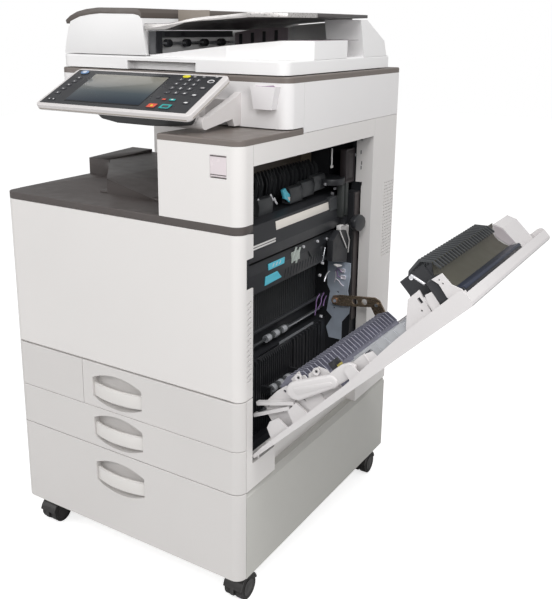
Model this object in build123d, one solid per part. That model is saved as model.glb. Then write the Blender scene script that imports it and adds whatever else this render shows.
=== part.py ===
from build123d import *
import os

os.makedirs("parts", exist_ok=True)

# Sizes in millimetres. X runs along the front from left to right, Y from the front to the back
# and Z up from the floor. The source is laid out with Y = 0 at the front face; every part is
# moved by half the depth when it is saved, so the origin is the middle of the footprint.
CABINET_W = 587.0
CABINET_D = 650.0
CORNER_R = 21.5
EDGE_R = 1.2
SKIN = 2.5
SEAM = 1.0
FRONT_DEPTH = 20.5
SIDE_START = FRONT_DEPTH + SEAM

# Levels of the horizontal seams.
BANK_Z = 64.0
BANK_SHOULDER_Z = 240.0
BANK_TOP_Z = 251.5
TRAY_2_Z = 252.8
TRAY_1_Z = 341.8
FRONT_Z = 441.5
TRIM_Z = 755.0
DECK_Z = 769.0
SHELF_Z = 908.0
SHELF_TOP_Z = 919.0
SCANNER_Z = 921.0
RIM_Z = 1003.6
RIM_TOP_Z = 1015.0
ADF_Z = 1017.0
ADF_TOP_Z = 1043.0

# Plan positions.
TOWER_X = 116.0
SCANNER_X = -278.0
SCANNER_Y = 156.0
REAR_WALL_Y = 480.0
OPENING_Y0 = 41.0
OPENING_Y1 = 528.0
OPENING_Z0 = 316.0
OPENING_Z1 = 871.0

# The side door and its stay. The door stands open by this angle on its stop.
DOOR_HINGE_X = 289.0
DOOR_HINGE_Z = 313.0
DOOR_FACE = 3.0
DOOR_OPEN = 46.0
DOOR_LENGTH = 556.5
STAY_X = 231.0
STAY_Z = 488.0
STAY_Y = 487.0

# The operation panel.
PANEL_W = 376.0
PANEL_DEPTH = 140.0
PANEL_TILT = 26.72
PANEL_X = -185.7
PANEL_Y = -3.9
PANEL_Z = 952.8
PANEL_T = 14.0

# Fits: a pin in its bore and the play beside moving parts.
FIT = 0.05
PLAY = 0.5

HALF_W = CABINET_W / 2
HALF_D = CABINET_D / 2
LEFT = -HALF_W
RIGHT = HALF_W
BACK = CABINET_D
INNER_L = LEFT + SKIN
INNER_R = RIGHT - SKIN


def save(shape, name):
    """Write one part, moved so that the footprint's middle is the origin."""
    export_step(Pos(0, -HALF_D, 0) * shape, f"parts/{name}.step")


def block(x0, x1, y0, y1, z0, z1):
    """An upright block between the given limits."""
    return Pos(x0, y0, z0) * Box(x1 - x0, y1 - y0, z1 - z0, align=(Align.MIN, Align.MIN, Align.MIN))


def prism_x(points, x0, x1):
    """A profile of (y, z) points run along X."""
    plane = Plane((x0, 0, 0), x_dir=(0, 1, 0), z_dir=(1, 0, 0))
    return extrude(plane * make_face(Polyline(*points, close=True)), x1 - x0, dir=(1, 0, 0))


def prism_y(points, y0, y1):
    """A profile of (x, z) points run along Y."""
    plane = Plane((0, y0, 0), x_dir=(1, 0, 0), z_dir=(0, -1, 0))
    return extrude(plane * make_face(Polyline(*points, close=True)), y1 - y0, dir=(0, 1, 0))


def prism_z(points, z0, z1):
    """A plan outline of (x, y) points run along Z."""
    plane = Plane((0, 0, z0), x_dir=(1, 0, 0), z_dir=(0, 0, 1))
    return extrude(plane * make_face(Polyline(*points, close=True)), z1 - z0, dir=(0, 0, 1))


def rod_x(y, z, r, x0, x1):
    """A round bar along X."""
    return Location(((x0 + x1) / 2, y, z), (0, 90, 0)) * Cylinder(r, x1 - x0)


def rod_y(x, z, r, y0, y1):
    """A round bar along Y."""
    return Location((x, (y0 + y1) / 2, z), (90, 0, 0)) * Cylinder(r, y1 - y0)


def rod_z(x, y, r, z0, z1):
    """A round bar along Z."""
    return Pos(x, y, (z0 + z1) / 2) * Cylinder(r, z1 - z0)


def rounded_plan(x0, x1, y0, y1, z0, z1, r, left=True, right=True, back=False):
    """An upright block with rounded vertical corners at the front, or all round."""
    face = Pos((x0 + x1) / 2, (y0 + y1) / 2) * Rectangle(x1 - x0, y1 - y0)
    rows = face.vertices().group_by(Axis.Y)
    corners = []
    if left:
        corners.append(rows[0].sort_by(Axis.X)[0])
    if right:
        corners.append(rows[0].sort_by(Axis.X)[-1])
    if back:
        corners.extend(rows[-1])
    if corners:
        face = fillet(corners, r)
    return extrude(Pos(0, 0, z0) * face, z1 - z0, dir=(0, 0, 1))


def soften(solid, radius, foot=False):
    """Round the top edges of a block, and those at its foot if asked, except along the back."""
    edges = solid.faces().sort_by(Axis.Z)[-1].edges().sort_by(Axis.Y)[:-1]
    if foot:
        edges += solid.faces().sort_by(Axis.Z)[0].edges().sort_by(Axis.Y)[:-1]
    return fillet(edges, radius)


def front_tray(x0, x1, z0, z1, depth, left=True, right=True):
    """A front panel: a wall with a flange all round, open at the back."""
    reach = depth + CORNER_R
    outer = soften(rounded_plan(x0, x1, 0, reach, z0, z1, CORNER_R, left, right), EDGE_R, True)
    inner = rounded_plan(x0 + SKIN, x1 - SKIN, SKIN, reach, z0 + SKIN, z1 - SKIN, CORNER_R - SKIN, left, right)
    return (outer - inner) & block(x0 - 1, x1 + 1, -1, depth, z0 - 1, z1 + 1)


# Grip recesses of the three drawers: an oval pocket with a bowed bar across it.
GRIP_X0 = -73.0
GRIP_X1 = 61.0
GRIP_H = 76.0
GRIP_DEPTH = 17.5
GRIP_WALL = 2.0
GRIP_BOW = 6.0
BAR_H = 28.0


def grip_outline(z0, inset):
    """The recess outline: flat ends with bowed top and bottom edges."""
    x0 = GRIP_X0 + inset
    x1 = GRIP_X1 - inset
    mid = (x0 + x1) / 2
    low = z0 + inset
    high = z0 + GRIP_H - inset
    side = GRIP_H * 0.2
    top = ThreePointArc((x0, high - side), (mid, high), (x1, high - side))
    bottom = ThreePointArc((x1, low + side), (mid, low), (x0, low + side))
    right = Line((x1, high - side), (x1, low + side))
    left = Line((x0, low + side), (x0, high - side))
    return make_face([top, right, bottom, left])


def grip_solid(z0, inset, y0, y1):
    """The recess outline run along Y."""
    plane = Plane((0, y0, 0), x_dir=(1, 0, 0), z_dir=(0, -1, 0))
    return extrude(plane * grip_outline(z0, inset), y1 - y0, dir=(0, 1, 0))


def with_grip(front, z0):
    """Cut the recess, line it with a cup and put the bowed bar across it."""
    cup = grip_solid(z0, 0, SKIN, GRIP_DEPTH) - grip_solid(z0, GRIP_WALL, SKIN - 1, GRIP_DEPTH - GRIP_WALL)
    mid = (GRIP_X0 + GRIP_X1) / 2
    x0 = GRIP_X0 + GRIP_WALL - 0.5
    x1 = GRIP_X1 - GRIP_WALL + 0.5
    bow = ThreePointArc((x0, 4.5), (mid, -GRIP_BOW), (x1, 4.5))
    back = ThreePointArc((x1, 9.0), (mid, -GRIP_BOW + 5), (x0, 9.0))
    ends = [Line((x1, 4.5), (x1, 9.0)), Line((x0, 9.0), (x0, 4.5))]
    bar_z = z0 + GRIP_H * 0.24
    bar = extrude(Pos(0, 0, bar_z) * make_face([bow, ends[0], back, ends[1]]), BAR_H, dir=(0, 0, 1))
    return front - grip_solid(z0, GRIP_WALL, -1, SKIN + 1) + cup + bar


def drawer_tub(x0, x1, y0, y1, z0, z1, wall):
    """An open-topped paper tub with its raised plate, two side fences and an end fence."""
    tub = block(x0, x1, y0, y1, z0, z1) - block(x0 + wall, x1 - wall, y0 + wall, y1 - wall, z0 + wall, z1 + 1)
    floor = z0 + wall
    mid = (x0 + x1) / 2
    tub += block(x0 + 20, x1 - 12, y0 + 120, y1 - 40, floor, floor + 4)
    for y in (y0 + 60, y1 - 34):
        tub += block(mid - 30, mid + 50, y, y + 4, floor, z1 - 6)
        tub += block(mid - 30, mid + 50, y - 10, y + 14, floor, floor + 3)
    tub += block(x0 + 24, x0 + 28, y0 + 190, y0 + 290, floor, z1 - 8)
    return tub


# Twin-wheel casters: a top plate, a hooded fork and two wheels on one axle pin.
WHEEL_R = 25.0
WHEEL_W = 16.0
AXLE_R = 4.0
CASTER_TRAIL = 14.0
CASTERS = {
    "front_left": (-239, 36),
    "front_right": (262, 46),
    "rear_left": (-239, 606),
    "rear_right": (262, 606),
}


def caster_fork(x, y, trail):
    """The hooded fork over a wheel whose axle lies `trail` in front of the swivel."""
    swivel_y = y + trail
    hood = rod_x(y, WHEEL_R, WHEEL_R + 5, x - 4, x + 4)
    hood += block(x - 4, x + 4, y - 5, swivel_y + 12, WHEEL_R, 53)
    hood -= block(x - 5, x + 5, y - 50, y + 50, -10, WHEEL_R - 8)
    arch = rod_x(y, WHEEL_R, WHEEL_R + 5, x - 21, x + 21)
    arch -= rod_x(y, WHEEL_R, WHEEL_R + 1.5, x - 30, x + 30)
    arch -= block(x - 30, x + 30, y - 60, y + 60, -20, WHEEL_R + 6)
    fork = hood + arch + block(x - 16, x + 16, y - 4, swivel_y + 14, 52, 57)
    return fork + rod_x(y, WHEEL_R, AXLE_R, x - 21, x + 21)


def front_caster_fork(x, y):
    """A swivelling fork with its stem pin; the stem turns in the bank's socket."""
    return caster_fork(x, y, CASTER_TRAIL) + rod_z(x, y + CASTER_TRAIL, 5, 56, 63)


def caster_wheels(x, y):
    """Two wheels either side of the fork's web, bored for the axle pin."""
    wheels = Part()
    for side_x in (x - 4.5 - WHEEL_W, x + 4.5):
        wheels += rod_x(y, WHEEL_R, WHEEL_R, side_x, side_x + WHEEL_W)
    return wheels - rod_x(y, WHEEL_R, AXLE_R + FIT, x - 30, x + 30)


def caster_socket(x, y):
    """The plate under the bank that a swivelling stem turns in."""
    return block(x - 26, x + 26, y - 22, y + 22, 57.3, BANK_Z + 1)


def rear_caster_forks():
    forks = Part()
    for name in ("rear_left", "rear_right"):
        x, y = CASTERS[name]
        forks += caster_fork(x, y, 0) + block(x - 26, x + 26, y - 24, y + 24, 57, BANK_Z)
    return forks


# The paper bank at the foot: a steel case on casters with one deep drawer.
BANK_WALL = 2.0
BANK_TUB_X0 = -270.0
BANK_TUB_X1 = 270.0
BANK_TUB_Z0 = 76.0
TUB_Y0 = 21.0
TUB_Y1 = 560.0
TUB_X1 = 195.0
TRAY_2_TUB_Z0 = 264.0
TRAY_1_TUB_Z0 = 352.0
TRAY_1_X0 = -97.0


def bank_case():
    case = block(LEFT, LEFT + BANK_WALL, SIDE_START, BACK, BANK_Z, BANK_SHOULDER_Z)
    case += block(RIGHT - BANK_WALL, RIGHT, SIDE_START, BACK, BANK_Z, BANK_SHOULDER_Z)
    case += block(LEFT, RIGHT, BACK - BANK_WALL, BACK, BANK_Z, BANK_SHOULDER_Z)
    case += block(LEFT + 1, RIGHT - 1, SIDE_START, BACK - 1, BANK_Z, BANK_Z + 4)
    shoulder = [
        (LEFT, BANK_SHOULDER_Z - 2),
        (RIGHT, BANK_SHOULDER_Z - 2),
        (RIGHT, BANK_SHOULDER_Z),
        (RIGHT - 8, BANK_TOP_Z),
        (LEFT + 8, BANK_TOP_Z),
        (LEFT, BANK_SHOULDER_Z),
    ]
    hollow = [
        (LEFT + 10, BANK_SHOULDER_Z - 3),
        (RIGHT - 10, BANK_SHOULDER_Z - 3),
        (RIGHT - 10, BANK_TOP_Z - 2),
        (LEFT + 10, BANK_TOP_Z - 2),
    ]
    case += prism_y(shoulder, SIDE_START, BACK) - prism_y(hollow, SIDE_START - 1, BACK - BANK_WALL)
    for x0, x1 in ((LEFT + 1, BANK_TUB_X0 - PLAY), (BANK_TUB_X1 + PLAY, RIGHT - 1)):
        case += block(x0, x1, 40, BACK - 1, 120, 132)
    case += block(BANK_TUB_X0 + 5, BANK_TUB_X1 - 5, 40, BACK - 20, BANK_Z + 3, BANK_TUB_Z0 - 0.3)
    for name in ("front_left", "front_right"):
        x, y = CASTERS[name]
        case += caster_socket(x, y + CASTER_TRAIL)
        case -= rod_z(x, y + CASTER_TRAIL, 5 + FIT, 50, BANK_Z + 2.5)
    return case


def bank_drawer():
    return drawer_tub(BANK_TUB_X0, BANK_TUB_X1, TUB_Y0, TUB_Y1 + 40, BANK_TUB_Z0, 232, 2)


def bank_drawer_front():
    front = front_tray(LEFT, RIGHT, BANK_Z + 1, BANK_TOP_Z - 0.3, FRONT_DEPTH)
    front = with_grip(front, 155)
    front += block(-200, -190, SKIN - 0.5, TUB_Y0, 100, 220)
    front += block(190, 200, SKIN - 0.5, TUB_Y0, 100, 220)
    return front


def tray_2():
    return drawer_tub(BANK_TUB_X0, TUB_X1, TUB_Y0, TUB_Y1, TRAY_2_TUB_Z0, 334, 2)


def tray_2_front():
    front = with_grip(front_tray(LEFT, RIGHT, TRAY_2_Z, TRAY_1_Z - SEAM, FRONT_DEPTH), 258)
    front += block(-200, -190, SKIN - 0.5, TUB_Y0, 266, 330)
    front += block(150, 160, SKIN - 0.5, TUB_Y0, 266, 330)
    return front


def tray_1():
    return drawer_tub(TRAY_1_X0 + 3, TUB_X1, TUB_Y0, TUB_Y1, TRAY_1_TUB_Z0, 428, 2)


def tray_1_front():
    front = with_grip(front_tray(TRAY_1_X0, RIGHT, TRAY_1_Z, FRONT_Z - 2.3, FRONT_DEPTH, False), 347.5)
    front += block(-90, -82, SKIN - 0.5, TUB_Y0, 354, 425)
    front += block(150, 160, SKIN - 0.5, TUB_Y0, 354, 425)
    return front


def left_front_panel():
    return front_tray(LEFT, TRAY_1_X0 - 1.2, TRAY_1_Z, FRONT_Z - 2.3, FRONT_DEPTH, True, False)


# The main frame: base pan, side plates, shelves and posts of folded sheet, with the front
# cover's hinge ears and the props that carry the scanner. The toner bottles lie in its cradle
# and the registration shaft runs in its side plates.
PLATE = 2.0
HINGE_Y = 5.0
HINGE_Z = 446.0
HINGE_PIN_R = 1.5
HINGE_EAR_X = -262.0
LOW_BLOCK_Z = 304.0
SIDE_FRAME_Y0 = 44.0
SIDE_FRAME_Y1 = 500.0
FRAME_X1 = 198.0
BOTTLE_R = 38.0
BOTTLE_Z = 700.0
BOTTLE_XS = (-215, -125, -35, 55)
SHAFT_R = 3.0
REG_X = 189.0
REG_Z = 462.0
DOCK_Y = 610.0
DOCK_Z = 450.0
DOCK_DY = 40.0
DOCK_DZ = 300.0
DOCK_R = 3.0


def docking_holes():
    """Four holes through the cover and the frame for a finisher's docking bracket."""
    holes = Part()
    for y in (DOCK_Y - DOCK_DY / 2, DOCK_Y + DOCK_DY / 2):
        for z in (DOCK_Z - DOCK_DZ / 2, DOCK_Z + DOCK_DZ / 2):
            holes += rod_x(y, z, DOCK_R, LEFT - 5, INNER_L + PLATE + 0.5)
    return holes


def main_frame():
    frame = block(INNER_L, 268, SIDE_START, BACK - SKIN, BANK_TOP_Z, BANK_TOP_Z + PLATE)
    for x in (-260, 150):
        frame += block(x, x + 30, 26, 600, BANK_TOP_Z + PLATE, TRAY_2_TUB_Z0 - 0.3)
    frame += block(INNER_L, INNER_L + PLATE, SIDE_START, BACK - SKIN, 440, TRIM_Z)
    frame += block(INNER_L, INNER_L + PLATE, 564, BACK - SKIN, BANK_TOP_Z, 441)
    frame += block(INNER_L, 268, 564, 564 + PLATE, BANK_TOP_Z, SCANNER_Z)
    frame += block(INNER_L, FRAME_X1, 24, 564, 345, 347)
    for x in (-90, 150):
        frame += block(x, x + 30, 26, 560, 347, TRAY_1_TUB_Z0 - 0.3)
    frame += block(INNER_L, TRAY_1_X0 - 6, SIDE_START - 1, SIDE_START + 2, 346, 438)
    frame += block(-101, -99, 24, 564, 346, 440)
    frame += block(INNER_L, FRAME_X1, 24, 564, 440, 440 + PLATE)
    frame += block(FRAME_X1 - PLATE, FRAME_X1, 24, 60, 254, 442)
    frame += block(FRAME_X1 - PLATE, FRAME_X1, 562, 565, 254, 442)
    for y in (SIDE_FRAME_Y0, SIDE_FRAME_Y1):
        frame += block(120, FRAME_X1, y, y + PLATE, 441, SHELF_Z)
    frame += block(240, 288, 24, 36, LOW_BLOCK_Z, SHELF_Z - 2)
    frame += block(FRAME_X1 - PLATE, 241, 24, 26, 256, 442)
    frame += block(240, 262, 502, 565, BANK_TOP_Z, 745)
    frame += block(240, 262, 532, 565, 744, SHELF_Z - 2)
    frame += block(FRAME_X1 - PLATE, 241, SIDE_FRAME_Y1, SIDE_FRAME_Y1 + PLATE, 300, 745)
    frame += block(250, INNER_R, 36, 565, 875, SHELF_Z - 2)
    frame += block(120, 290, 36, 215, SHELF_Z - 4, SHELF_Z)
    for x in (130, 255):
        for y in (226, 530):
            frame += block(x, x + 26, y, y + 30, SHELF_Z - 6, SCANNER_Z)
    frame += block(120, 285, 215, 565, SHELF_Z - 6, SHELF_Z - 3)
    for x in (-285, -90, 60):
        frame += block(x, x + 20, 500, 566, 440, SCANNER_Z)
    frame += block(INNER_L, -285, 480, 500, 440, TRIM_Z)
    frame += block(-285, -265, 482.5, 500, 440, SCANNER_Z)
    for x in (HINGE_EAR_X, -HINGE_EAR_X - 4):
        frame += block(x, x + 4, 3.4, 25, HINGE_Z - 1.6, HINGE_Z + 1.6)
        frame += block(x, x + 4, 20, 25, 440, HINGE_Z + 1.6)
    frame += rod_x(HINGE_Y, HINGE_Z, HINGE_PIN_R, HINGE_EAR_X - 9, HINGE_EAR_X + 1)
    frame += rod_x(HINGE_Y, HINGE_Z, HINGE_PIN_R, -HINGE_EAR_X - 1, -HINGE_EAR_X + 9)
    frame += block(-289.5, 121, 60, 480, BOTTLE_Z - BOTTLE_R - 3, BOTTLE_Z - BOTTLE_R + 8)
    for x in BOTTLE_XS:
        frame -= rod_y(x, BOTTLE_Z, BOTTLE_R + 0.1, 50, 490)
    frame -= rod_y(REG_X, REG_Z, SHAFT_R + FIT, 40, 510)
    return frame - docking_holes()


# Outer covers on the left, the back and the right of the main unit.
INLET_X = -230.0
INLET_Z = 300.0
DOOR_PIN_R = 2.0
EAR_YS = (62.0, 505.0)


def left_cover():
    cover = block(LEFT, INNER_L, SIDE_START, BACK - SKIN, BANK_TOP_Z + 0.5, TRIM_Z)
    return cover - block(LEFT - 5, LEFT + 0.8, 250, 450, 560, 640) - docking_holes()


def rear_cover():
    cover = block(LEFT, RIGHT, BACK - SKIN, BACK, BANK_TOP_Z + 0.5, SCANNER_Z - 0.3)
    wall = block(LEFT, TOWER_X, REAR_WALL_Y, BACK, TRIM_Z, SCANNER_Z - 0.3)
    wall -= block(LEFT + SKIN, TOWER_X + 5, REAR_WALL_Y + SKIN, BACK - SKIN, TRIM_Z - 5, SCANNER_Z)
    cover += wall
    cover -= block(INLET_X - 15, INLET_X + 15, BACK - 5, BACK + 5, INLET_Z - 12, INLET_Z + 12)
    for i in range(12):
        cover -= block(60 + i * 12, 66 + i * 12, BACK - 5, BACK + 5, 620, 700)
    return cover


def power_inlet():
    """The socket for a mains lead: a shroud with three flat blades."""
    body = block(INLET_X - 14.5, INLET_X + 14.5, BACK - 22, BACK, INLET_Z - 11.5, INLET_Z + 11.5)
    body += block(INLET_X - 20, INLET_X + 20, BACK - 5, BACK - SKIN, INLET_Z - 17, INLET_Z + 17)
    body -= block(INLET_X - 12, INLET_X + 12, BACK - 18, BACK + 1, INLET_Z - 8, INLET_Z + 8)
    for x, z in ((-7, -2), (0, 3), (7, -2)):
        body += block(INLET_X + x - 1, INLET_X + x + 1, BACK - 18.5, BACK - 8, INLET_Z + z - 3, INLET_Z + z + 3)
    return body


def right_rear_cover():
    cover = block(INNER_R, RIGHT, OPENING_Y1 - 1, BACK - SKIN, OPENING_Z0, SHELF_Z + 1.2)
    cover -= block(INNER_R - 5, RIGHT + 5, 0, 532, OPENING_Z1, OPENING_Z1 + 60)
    cover += block(267, RIGHT, OPENING_Y1 - 1, OPENING_Y1 + 1.5, OPENING_Z0, OPENING_Z1)
    cover += block(253, 268, OPENING_Y1 - 1, OPENING_Y1 + 1.5, 765, 859)
    for row in range(24):
        for column in range(6):
            y = 596 + column * 9
            z = 578 + row * 7.6
            cover -= block(INNER_R - 5, RIGHT + 5, y, y + 5, z, z + 3.6)
    return cover


def right_upper_cover():
    cover = block(INNER_R, RIGHT, OPENING_Y0, 531.2, OPENING_Z1, SHELF_Z - 0.3)
    return cover + block(INNER_R, RIGHT, 212, 531.2, OPENING_Z1, SHELF_Z + 1.2)


def right_lower_cover():
    """The strip beside the tray fronts, two low blocks, the recessed wall and the door's hinge ears."""
    cover = block(288, RIGHT, SIDE_START, OPENING_Y0, LOW_BLOCK_Z - 1, FRONT_Z - 2.3)
    for y0, y1, top in ((SIDE_START, 122, LOW_BLOCK_Z), (481, 527, LOW_BLOCK_Z), (525, BACK - SKIN, 315.4)):
        shell = block(268, RIGHT, y0, y1, 252, top)
        cover += shell - block(266, RIGHT - SKIN, y0 + SKIN, y1 - SKIN, 250, top - SKIN)
    cover += block(268, 268 + SKIN, 121, 482, 252, LOW_BLOCK_Z)
    for y in EAR_YS:
        cover += rod_y(DOOR_HINGE_X, DOOR_HINGE_Z, 4, y, y + 4)
        cover += block(DOOR_HINGE_X - 3.5, DOOR_HINGE_X + 3.5, y, y + 4, LOW_BLOCK_Z - 1, DOOR_HINGE_Z)
    cover += rod_y(DOOR_HINGE_X, DOOR_HINGE_Z, DOOR_PIN_R, EAR_YS[0] - 11, EAR_YS[0] + 1)
    cover += rod_y(DOOR_HINGE_X, DOOR_HINGE_Z, DOOR_PIN_R, EAR_YS[1] + 3, EAR_YS[1] + 15)
    return cover


# Fixed front parts of the in-body space: brown deck, tower and shelf.
def output_deck():
    deck = soften(rounded_plan(LEFT, RIGHT, 0, OPENING_Y0 - 1, TRIM_Z, DECK_Z, CORNER_R), 1.5)
    deck -= rounded_plan(INNER_L, INNER_R, SKIN, OPENING_Y0 + 5, TRIM_Z - 5, DECK_Z - 3, CORNER_R - SKIN)
    deck -= rounded_plan(TOWER_X, INNER_R, SKIN, OPENING_Y0 + 5, DECK_Z - 5, DECK_Z + 5, CORNER_R - SKIN, False)
    deck += block(LEFT, TOWER_X, OPENING_Y0 - 2, REAR_WALL_Y, DECK_Z - 3, DECK_Z)
    deck += block(LEFT, LEFT + SKIN, OPENING_Y0 - 2, REAR_WALL_Y, TRIM_Z, DECK_Z)
    deck += block(TOWER_X - SKIN, TOWER_X, SKIN, REAR_WALL_Y, TRIM_Z, DECK_Z)
    deck += block(LEFT, -232, 247, REAR_WALL_Y, DECK_Z - 1, 813)
    slope = [(40, DECK_Z - 1), (40, DECK_Z), (-97, 800), (-231, 806), (-231, DECK_Z - 1)]
    plan = [(-97, 94), (40, 94), (40, REAR_WALL_Y), (-232, REAR_WALL_Y), (-232, 250)]
    deck += prism_y(slope, 90, REAR_WALL_Y) & prism_z(plan, DECK_Z - 2, 820)
    deck -= prism_x([(230, 806), (247, 806), (REAR_WALL_Y, 816), (230, 816)], LEFT - 5, -231.9)
    return deck


def tower_cover():
    tower = rounded_plan(TOWER_X, RIGHT, 0, OPENING_Y0 - 1, DECK_Z + 0.5, SHELF_Z - 0.3, CORNER_R, False)
    tower -= rounded_plan(
        TOWER_X + SKIN, INNER_R, SKIN, OPENING_Y0 + 5, DECK_Z - 5, SHELF_Z + 5, CORNER_R - SKIN, False
    )
    tower += block(TOWER_X, TOWER_X + SKIN, 2, REAR_WALL_Y, DECK_Z + 0.5, SHELF_Z - 0.3)
    tower += block(TOWER_X, TOWER_X + SKIN, 212, REAR_WALL_Y, SHELF_Z - 1, SCANNER_Z)
    tower -= block(TOWER_X - 5, TOWER_X + 10, 90, 440, 822, 850)
    cup = block(229, 267, SKIN - 0.5, 18, 849.5, 893) - block(230.5, 265.5, -1, 16.5, 851, 891.5)
    tower -= block(230.5, 265.5, -1, 10, 851, 891.5)
    tower += cup
    tower += rod_x(3, 855, 1, 229, 234) + rod_x(3, 855, 1, 262, 267)
    tower += rod_x(10, 872, 1.5, 229, 267)
    return tower


def switch_cover():
    """The clear flap over the power switch, bored at its foot for the hinge pins."""
    flap = block(231, 265, 0.4, 2, 855, 891) + rod_x(3, 855, 2, 231, 265)
    return flap - rod_x(3, 855, 1 + FIT, 220, 280)


def power_switch():
    """A rocker on a cross pin."""
    rocker = prism_x([(5.5, 864), (6.5, 872), (5.5, 880), (10, 881), (13, 872), (10, 863)], 240, 256)
    return rocker - rod_x(10, 872, 1.5 + FIT, 230, 270)


def tower_top():
    """The brown shelf; its edge runs back along the right side."""
    shelf = soften(rounded_plan(TOWER_X, RIGHT, 0, 211, SHELF_Z, SHELF_TOP_Z, CORNER_R, False), 2.5)
    return shelf - block(TOWER_X + 6, RIGHT - 6, 40, 205, SHELF_Z - 1, SHELF_TOP_Z - 3)


# Behind the front cover: the inner cover, the toner bottles and the belt unit.
def inner_cover():
    cover = block(INNER_L + PLATE, 240, 30, 33, FRONT_Z + 8, TRIM_Z - 1)
    for x in BOTTLE_XS:
        cover -= rod_y(x, BOTTLE_Z, BOTTLE_R + 1, 20, 40)
    for y0, y1, z0, z1 in ((26, 31, FRONT_Z + 8, FRONT_Z + 14), (26, 31, 600, 606)):
        cover += block(INNER_L + PLATE, 240, y0, y1, z0, z1)
    return cover - block(-60, 60, 29, 32, 640, 648)


def toner_bottles():
    bottles = Part()
    for x in BOTTLE_XS:
        bottles += rod_y(x, BOTTLE_Z, BOTTLE_R, 25, 400) + rod_y(x, BOTTLE_Z, 14, 399, 430)
    return bottles


def belt_unit():
    """The flat transfer belt over two rollers, with the black end bar seen in the opening."""
    belt = block(-220, 195, 60, 480, 606, 650) + rod_y(-220, 628, 22, 60, 480) + rod_y(195, 628, 22, 60, 480)
    belt -= block(-200, 175, 59, 481, 609, 647)
    belt += block(-230, FRAME_X1, SIDE_FRAME_Y0 + PLATE, 60, 602, 656) + block(-230, 176, 480, SIDE_FRAME_Y1, 602, 656)
    bar = [(190, 600), (212, 592), (226, 596), (232, 640), (228, 660), (190, 658)]
    return belt + prism_y(bar, SIDE_FRAME_Y0 + PLATE, 480)


def fuser_unit():
    """The fuser's slanted front with the paper-exit comb standing above it."""
    body = [(180, 668), (236, 668), (240, 690), (234, 738), (214, 744), (180, 744)]
    unit = prism_y(body, SIDE_FRAME_Y0 + PLATE, SIDE_FRAME_Y1) + block(239, 250, 484, 498, 672, 690)
    unit += block(150, 153, 120, 495, 744, 850) + block(150, 182, 120, 495, 736, 744)
    rib = [(152, 752), (166, 756), (168, 790), (160, 812), (152, 815)]
    for i in range(18):
        unit += prism_y(rib, 256 + i * 13, 259 + i * 13)
    return unit


# The vertical paper path low in the opening: guide panel, feed rollers and registration rollers.
FEED_X = 222.0
FEED_Z = 367.0


def roller_shaft(x, z, y0, y1, r, rollers, width):
    shaft = rod_y(x, z, SHAFT_R, y0, y1)
    for y in rollers:
        shaft += rod_y(x, z, r, y, y + width)
    return shaft


def registration_roller():
    return roller_shaft(REG_X, REG_Z, SIDE_FRAME_Y0 - 2, SIDE_FRAME_Y1 + 3, 7.5, (258, 290, 322), 18)


def feed_roller():
    return roller_shaft(FEED_X, FEED_Z, 212, 330, 8, (229, 257, 288), 14)


def feed_guide():
    guide = block(FRAME_X1, FRAME_X1 + 3, 80, SIDE_FRAME_Y1, 254, 439)
    for i in range(28):
        y = 88 + i * 14
        if y < 205 or y > 335:
            guide += block(FRAME_X1 + 2, 208, y, y + 2.5, 330, 437)
    for y in (213, 327):
        guide += block(FRAME_X1 + 2, FEED_X + 6, y - 3, y + 3, FEED_Z - 8, FEED_Z + 8)
    guide -= rod_y(FEED_X, FEED_Z, SHAFT_R + FIT, 209.5, 340)
    guide += block(170, 173, SIDE_FRAME_Y0 + PLATE, SIDE_FRAME_Y1, 442, 590)
    for i in range(30):
        y = 60 + i * 14
        guide += block(172, 179, y, y + 2.5, 478, 588)
    return guide


# The side door's stay: a dog-leg strap on a pivot in the hinge plate. Its far end is a pin that
# runs in a slotted rail on the door.
STAY_PIN_R = 4.0
STAY_T = 4.0
STAY_END_X = 368.0
STAY_END_Z = 438.0
RAIL_Y = 493.2
RAIL_T = 3.0


def hinge_plate():
    """The bright steel plate that carries the stay's pivot."""
    outline = [
        (204, 580),
        (262, 580),
        (262, 545),
        (257, 512),
        (264, 480),
        (262, 458),
        (244, 434),
        (244, 390),
        (212, 390),
        (204, 415),
        (219, 442),
        (204, 455),
        (212, 505),
        (204, 520),
    ]
    plate = prism_y(outline, 497, SIDE_FRAME_Y1)
    for x, z in ((232, 506), (223, 466), (246, 560)):
        plate -= rod_y(x, z, 2.5, 490, 505)
    return plate + rod_y(STAY_X, STAY_Z, STAY_PIN_R, STAY_Y - 3, 498)


def door_stay():
    strap = prism_y(
        [
            (224, 478),
            (221, 488),
            (225, 499),
            (245, 503.5),
            (330, 513),
            (342, 508),
            (384, 440),
            (381, 428),
            (366, 424),
            (357, 430),
            (322, 489),
            (246, 477.6),
        ],
        STAY_Y,
        STAY_Y + STAY_T,
    )
    strap += rod_y(STAY_X, STAY_Z, 8, STAY_Y, 496.4) + rod_y(336, 497, 6, STAY_Y - 3, STAY_Y)
    for x, z in ((281, 494.5), (305, 498.3)):
        strap -= rod_y(x, z, 7, STAY_Y - 5, STAY_Y + 10)
    strap += rod_y(STAY_END_X, STAY_END_Z, 3, STAY_Y + STAY_T - 1, RAIL_Y + RAIL_T + 0.3)
    return strap - rod_y(STAY_X, STAY_Z, STAY_PIN_R + FIT, STAY_Y - 5, 500)


# The side door, drawn shut and then turned open about its hinge line. Sizes on it are given as
# u, the height above the hinge line, and h, the depth inwards from the outer face.
DOOR_Y0 = 43.0
DOOR_Y1 = 525.5
TRACK_H = 38.0


def door_prism(points, y0, y1):
    """A profile of (u, h) points run along Y."""
    face_x = DOOR_HINGE_X + DOOR_FACE
    return prism_y([(face_x - h, DOOR_HINGE_Z + u) for u, h in points], y0, y1)


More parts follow.
